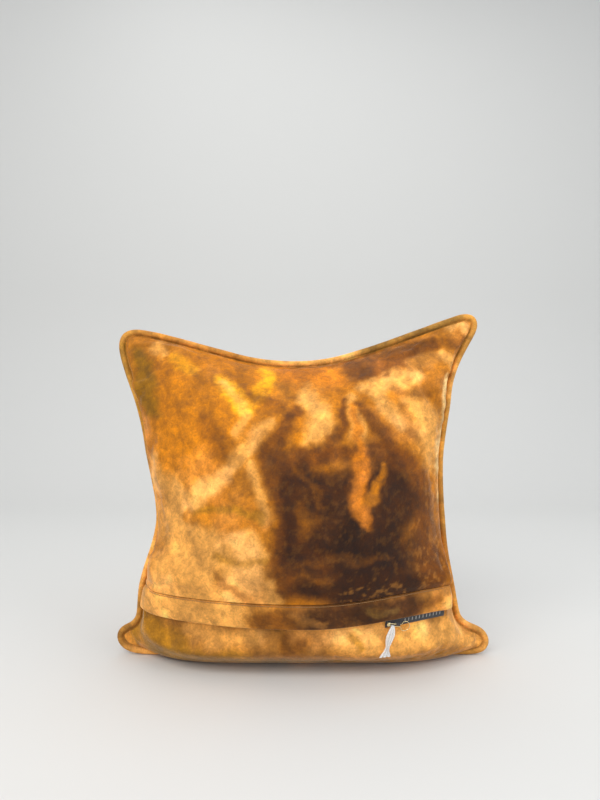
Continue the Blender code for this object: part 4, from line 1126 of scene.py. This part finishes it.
def insert():
    """Two ticking faces round a body of loose fill with a lumpy surface."""
    rows = (spaced(96, 0.4) + 1) / 2
    columns = spaced(110, 0.5)
    fill, pieces = [], []
    for name, node, face in (("ticking_zip_side", "insert_casing_back", ZIP_FACE),
                             ("ticking_plain_side", "insert_casing_front", PLAIN_FACE)):
        outer = insert_grid(face, rows, columns, 0.040, GAP + TICKING)
        inner = insert_grid(face, rows, columns, 0.044, GAP)
        pieces.append(between(name, outer, inner, "ticking", [node]))
        core = insert_grid(face, rows[1:-1], columns[1:-1], 0.070, GAP / 2)
        lumps = 0.0030 * (fractal(core, 22, 91, 3) - 0.8)
        rim = np.sin(np.linspace(0, math.pi, core.shape[0]))[:, None]
        rim = rim * np.sin(np.linspace(0, math.pi, core.shape[1]))[None, :]
        core[..., 1] += face.way * lumps * smooth_step(rim * 3)
        fill.append(core)
    pieces.append(between("loose_filling", *fill, "filling", ["insert_filling"]))
    return pieces


# Zip ----


def zip_strip(name, section, turns, slot, replaced):
    s, n = np.array(section).T
    return swept(name, on_cone(turns[:, None], s[None, :], n[None, :]), slot, replaced)


def zip_tapes():
    half = 0.00025
    turns = np.linspace(-ZIP_HALF_TURN, ZIP_HALF_TURN, 161)
    coil_end = COIL_GAP / 2 + COIL_W
    low, high = ZIP_S - coil_end - 0.0003, ZIP_S + coil_end + 0.0003
    flat = np.linspace(0.0025, low, 7)
    lower = [(s, ZIP_N - half) for s in flat] + [(s, ZIP_N + half) for s in flat[::-1]]
    rise = through([(high, ZIP_N), (high + 0.004, ZIP_N), (high + 0.0075, ZIP_N + 0.0035),
                    (FLAP_DEPTH - 0.0015, -0.0048)], 14)
    upper = [(s, n - half) for s, n in rise] + [(s, n + half) for s, n in rise[::-1]]
    zip_strip("zip_tape_below", lower, turns, "zip_tape", ["zipper_tape_lower"])
    zip_strip("zip_tape_above", upper, turns, "zip_tape", ["zipper_tape_upper"])


def zip_coils():
    """Each row of teeth is one nylon line wound round and round."""
    turns, per = 230, 12
    wound = np.linspace(0, 2 * math.pi * turns, turns * per + 1)
    along = np.linspace(-ZIP_HALF_TURN, ZIP_HALF_TURN, len(wound))
    line_r = 0.00036
    for name, node, way in (("zip_teeth_below", "zipper_coil_lower", -1),
                            ("zip_teeth_above", "zipper_coil_upper", +1)):
        middle = ZIP_S + way * (COIL_GAP + COIL_W) / 2
        s = middle + way * (COIL_W / 2 - line_r) * np.cos(wound)
        n = ZIP_N + (COIL_T / 2 - line_r) * np.sin(wound)
        swept(name, tube_rings(on_cone(along, s, n), line_r, 5), "zip_coil", [node])


# Label, pin and ribbon ----


def pin_point(along, across, out=0.0):
    """A place in the pin's own plane, which touches the cone where the pin bites."""
    origin = on_cone(PIN_TURN, PIN_S, PIN_N)
    right = np.array([math.cos(PIN_TURN), math.sin(PIN_TURN), 0.0])
    up = on_cone(PIN_TURN, PIN_S + 1.0, PIN_N) - origin
    facing = np.cross(right, up)
    across_axis = up * math.cos(PIN_TILT) - right * math.sin(PIN_TILT)
    along_axis = right * math.cos(PIN_TILT) + up * math.sin(PIN_TILT)
    along, across, out = (np.asarray(v, float)[..., None] for v in (along, across, out))
    return origin + along * along_axis + across * across_axis + out * facing


def label():
    """A woven strip under the flap's edge, humped where the pin's arm goes through."""
    turns = np.linspace(LABEL_FROM, LABEL_TO, 260)
    heights = np.concatenate([np.linspace(LABEL_LOW, 0.0, 30), [0.002, LABEL_HIGH]])
    turn, s = np.meshgrid(turns, heights)
    s = s + band_rise(ZIP_RADIUS * np.sin(turn))
    along = (turn - PIN_TURN) * ZIP_RADIUS
    line = PIN_S + along * math.tan(PIN_TILT)
    hump = 0.0038 * smooth_step((0.0044 - np.abs(along)) / 0.0026)
    hump = hump * smooth_step((0.0030 - np.abs(s - line)) / 0.0019)
    outer = on_cone(turn, s, LABEL_N + LABEL_T + hump)
    inner = on_cone(turn, s, LABEL_N + hump)
    piece = between("charcoal_label", outer, inner, "label", ["woven_label"])
    charcoal, pale = tone(52, 53, 57), tone(176, 174, 168)
    shares = np.zeros(turn.shape)
    below = np.broadcast_to(heights[:, None], turn.shape)
    band = (below > -0.0056) & (below < -0.0018)
    length = (turn - LABEL_FROM) * ZIP_RADIUS
    tick = np.mod(length - 0.010, 0.0048)
    inside = (length > 0.022) & (length < 0.074)
    shares[band & inside & (tick < 0.0012)] = 0.8
    colour = charcoal + shares[..., None] * (pale - charcoal)
    both = np.concatenate([colour.reshape(-1, 3)] * 2)
    paint(piece, "weave", both)
    return piece


def pin():
    """The bulb-shaped pin of springy wire and its pressed clasp."""
    shoulder = math.radians(125)
    bulb = [(BULB_AT + BULB_R * math.cos(a), -PIN_NECK + BULB_R * math.sin(a))
            for a in np.linspace(shoulder, -shoulder, 15)]
    arm = [(PIN_HEAD, 0.0), (-0.006, 0.0), (0.0, 0.0), (0.0030, 0.0), (0.0046, 0.0010)]
    back = [(0.0046, -2 * PIN_NECK - 0.0010), (0.0030, -2 * PIN_NECK),
            (-0.004, -2 * PIN_NECK), (PIN_HEAD, -2 * PIN_NECK)]
    flat = through(arm + bulb + back, 220)
    swept("bulb_pin", tube_rings(pin_point(flat[:, 0], flat[:, 1]), WIRE_R, 14), "brass",
          ["safety_pin_wire"], body="pin")
    half = PIN_NECK + WIRE_R + 0.0006
    rings = []
    turns = np.arange(32) * math.pi / 16
    for along, share in ((-0.0003, 0.88), (-0.0005, 0.95), (-0.0009, 0.985), (-0.0014, 1.0),
                         (-0.0020, 0.97), (-0.0026, 0.89), (-0.0031, 0.74), (-0.0035, 0.55),
                         (-0.0036, 0.46)):
        across = -PIN_NECK + half * share * np.cos(turns)
        rings.append(pin_point(np.full(32, PIN_HEAD + along), across,
                               0.00105 * share * np.sin(turns)))
    swept("bulb_pin_clasp", np.array(rings), "brass", ["safety_pin_clasp"], body="pin")


def gauze_ribbon():
    """A gauze ribbon looped over the pin's back wire; its long tail hangs straight and fans out."""
    wire = pin_point(RIBBON_AT, -2 * PIN_NECK)
    along_wire = (pin_point(RIBBON_AT + 0.01, -2 * PIN_NECK) - wire) / 0.01
    turn = math.atan2(wire[0], ZIP_AXIS_Y - wire[1])
    level = np.array([math.cos(turn), math.sin(turn), 0.0])
    outward = np.array([math.sin(turn), -math.cos(turn), 0.0])
    loop_r, half_t = 0.00085, 0.00012
    over = np.linspace(-math.pi / 2, math.pi / 2, 17)
    out = np.concatenate([[-loop_r] * 5, loop_r * np.sin(over), np.full(60, loop_r)])
    drop = np.concatenate([np.linspace(0.005, 0.001, 5), -loop_r * np.cos(over),
                           np.linspace(0.0006, RIBBON_DROP, 60)])
    fall = np.clip(drop, 0.0, None) / RIBBON_DROP
    fall[:5] = 0.0
    half_width = np.interp(fall, [0.0, 0.10, 0.30, 0.45, 0.66, 0.80, 1.0],
                           [0.0021, 0.0036, 0.0052, 0.0046, 0.0024, 0.0034, 0.0072])
    slope = np.stack([np.gradient(out), np.gradient(drop)], axis=1)
    slope /= np.linalg.norm(slope, axis=1)[:, None]
    twist = smooth_step(fall * 3)[:, None]
    width_axis = along_wire * (1 - twist) + level * twist
    shares = np.linspace(-1, 1, 25)
    sheets = []
    for side in (half_t, -half_t):
        line = (wire + (out + slope[:, 1] * side)[:, None] * outward
                - 0.0100 * fall[:, None] * level)
        line[:, 2] -= drop - slope[:, 0] * side
        grid = line[:, None] + (shares[None, :, None] * half_width[:, None, None]
                                * width_axis[:, None])
        pleat = np.sin(shares[None, :] * 9 + fall[:, None] * 2.0) * smooth_step(fall * 4)[:, None]
        grid += 0.0008 * (pleat + smooth_step(fall * 4)[:, None])[..., None] * outward
        sheets.append(grid)
    piece = between("gauze_ribbon", *sheets, "gauze", ["tag_ribbon"], body="ribbon", sharp=80)
    return piece


# CAD nodes that stay ----


def dress(node, slot):
    """Gives a kept CAD node its finish."""
    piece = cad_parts[node]
    for place in piece.material_slots:
        place.material = FINISH[slot]


soft = [upper_panel(), lower_panel(), far_panel(), flap()]
soft += insert()
topstitch()
piping()
zip_tapes()
zip_coils()
label()
pin()
gauze_ribbon()
for node in ("zipper_top_stop", "zipper_bottom_stop", "zipper_slider", "zipper_pull_tab"):
    dress(node, "zip_metal")

bpy.context.view_layer.update()
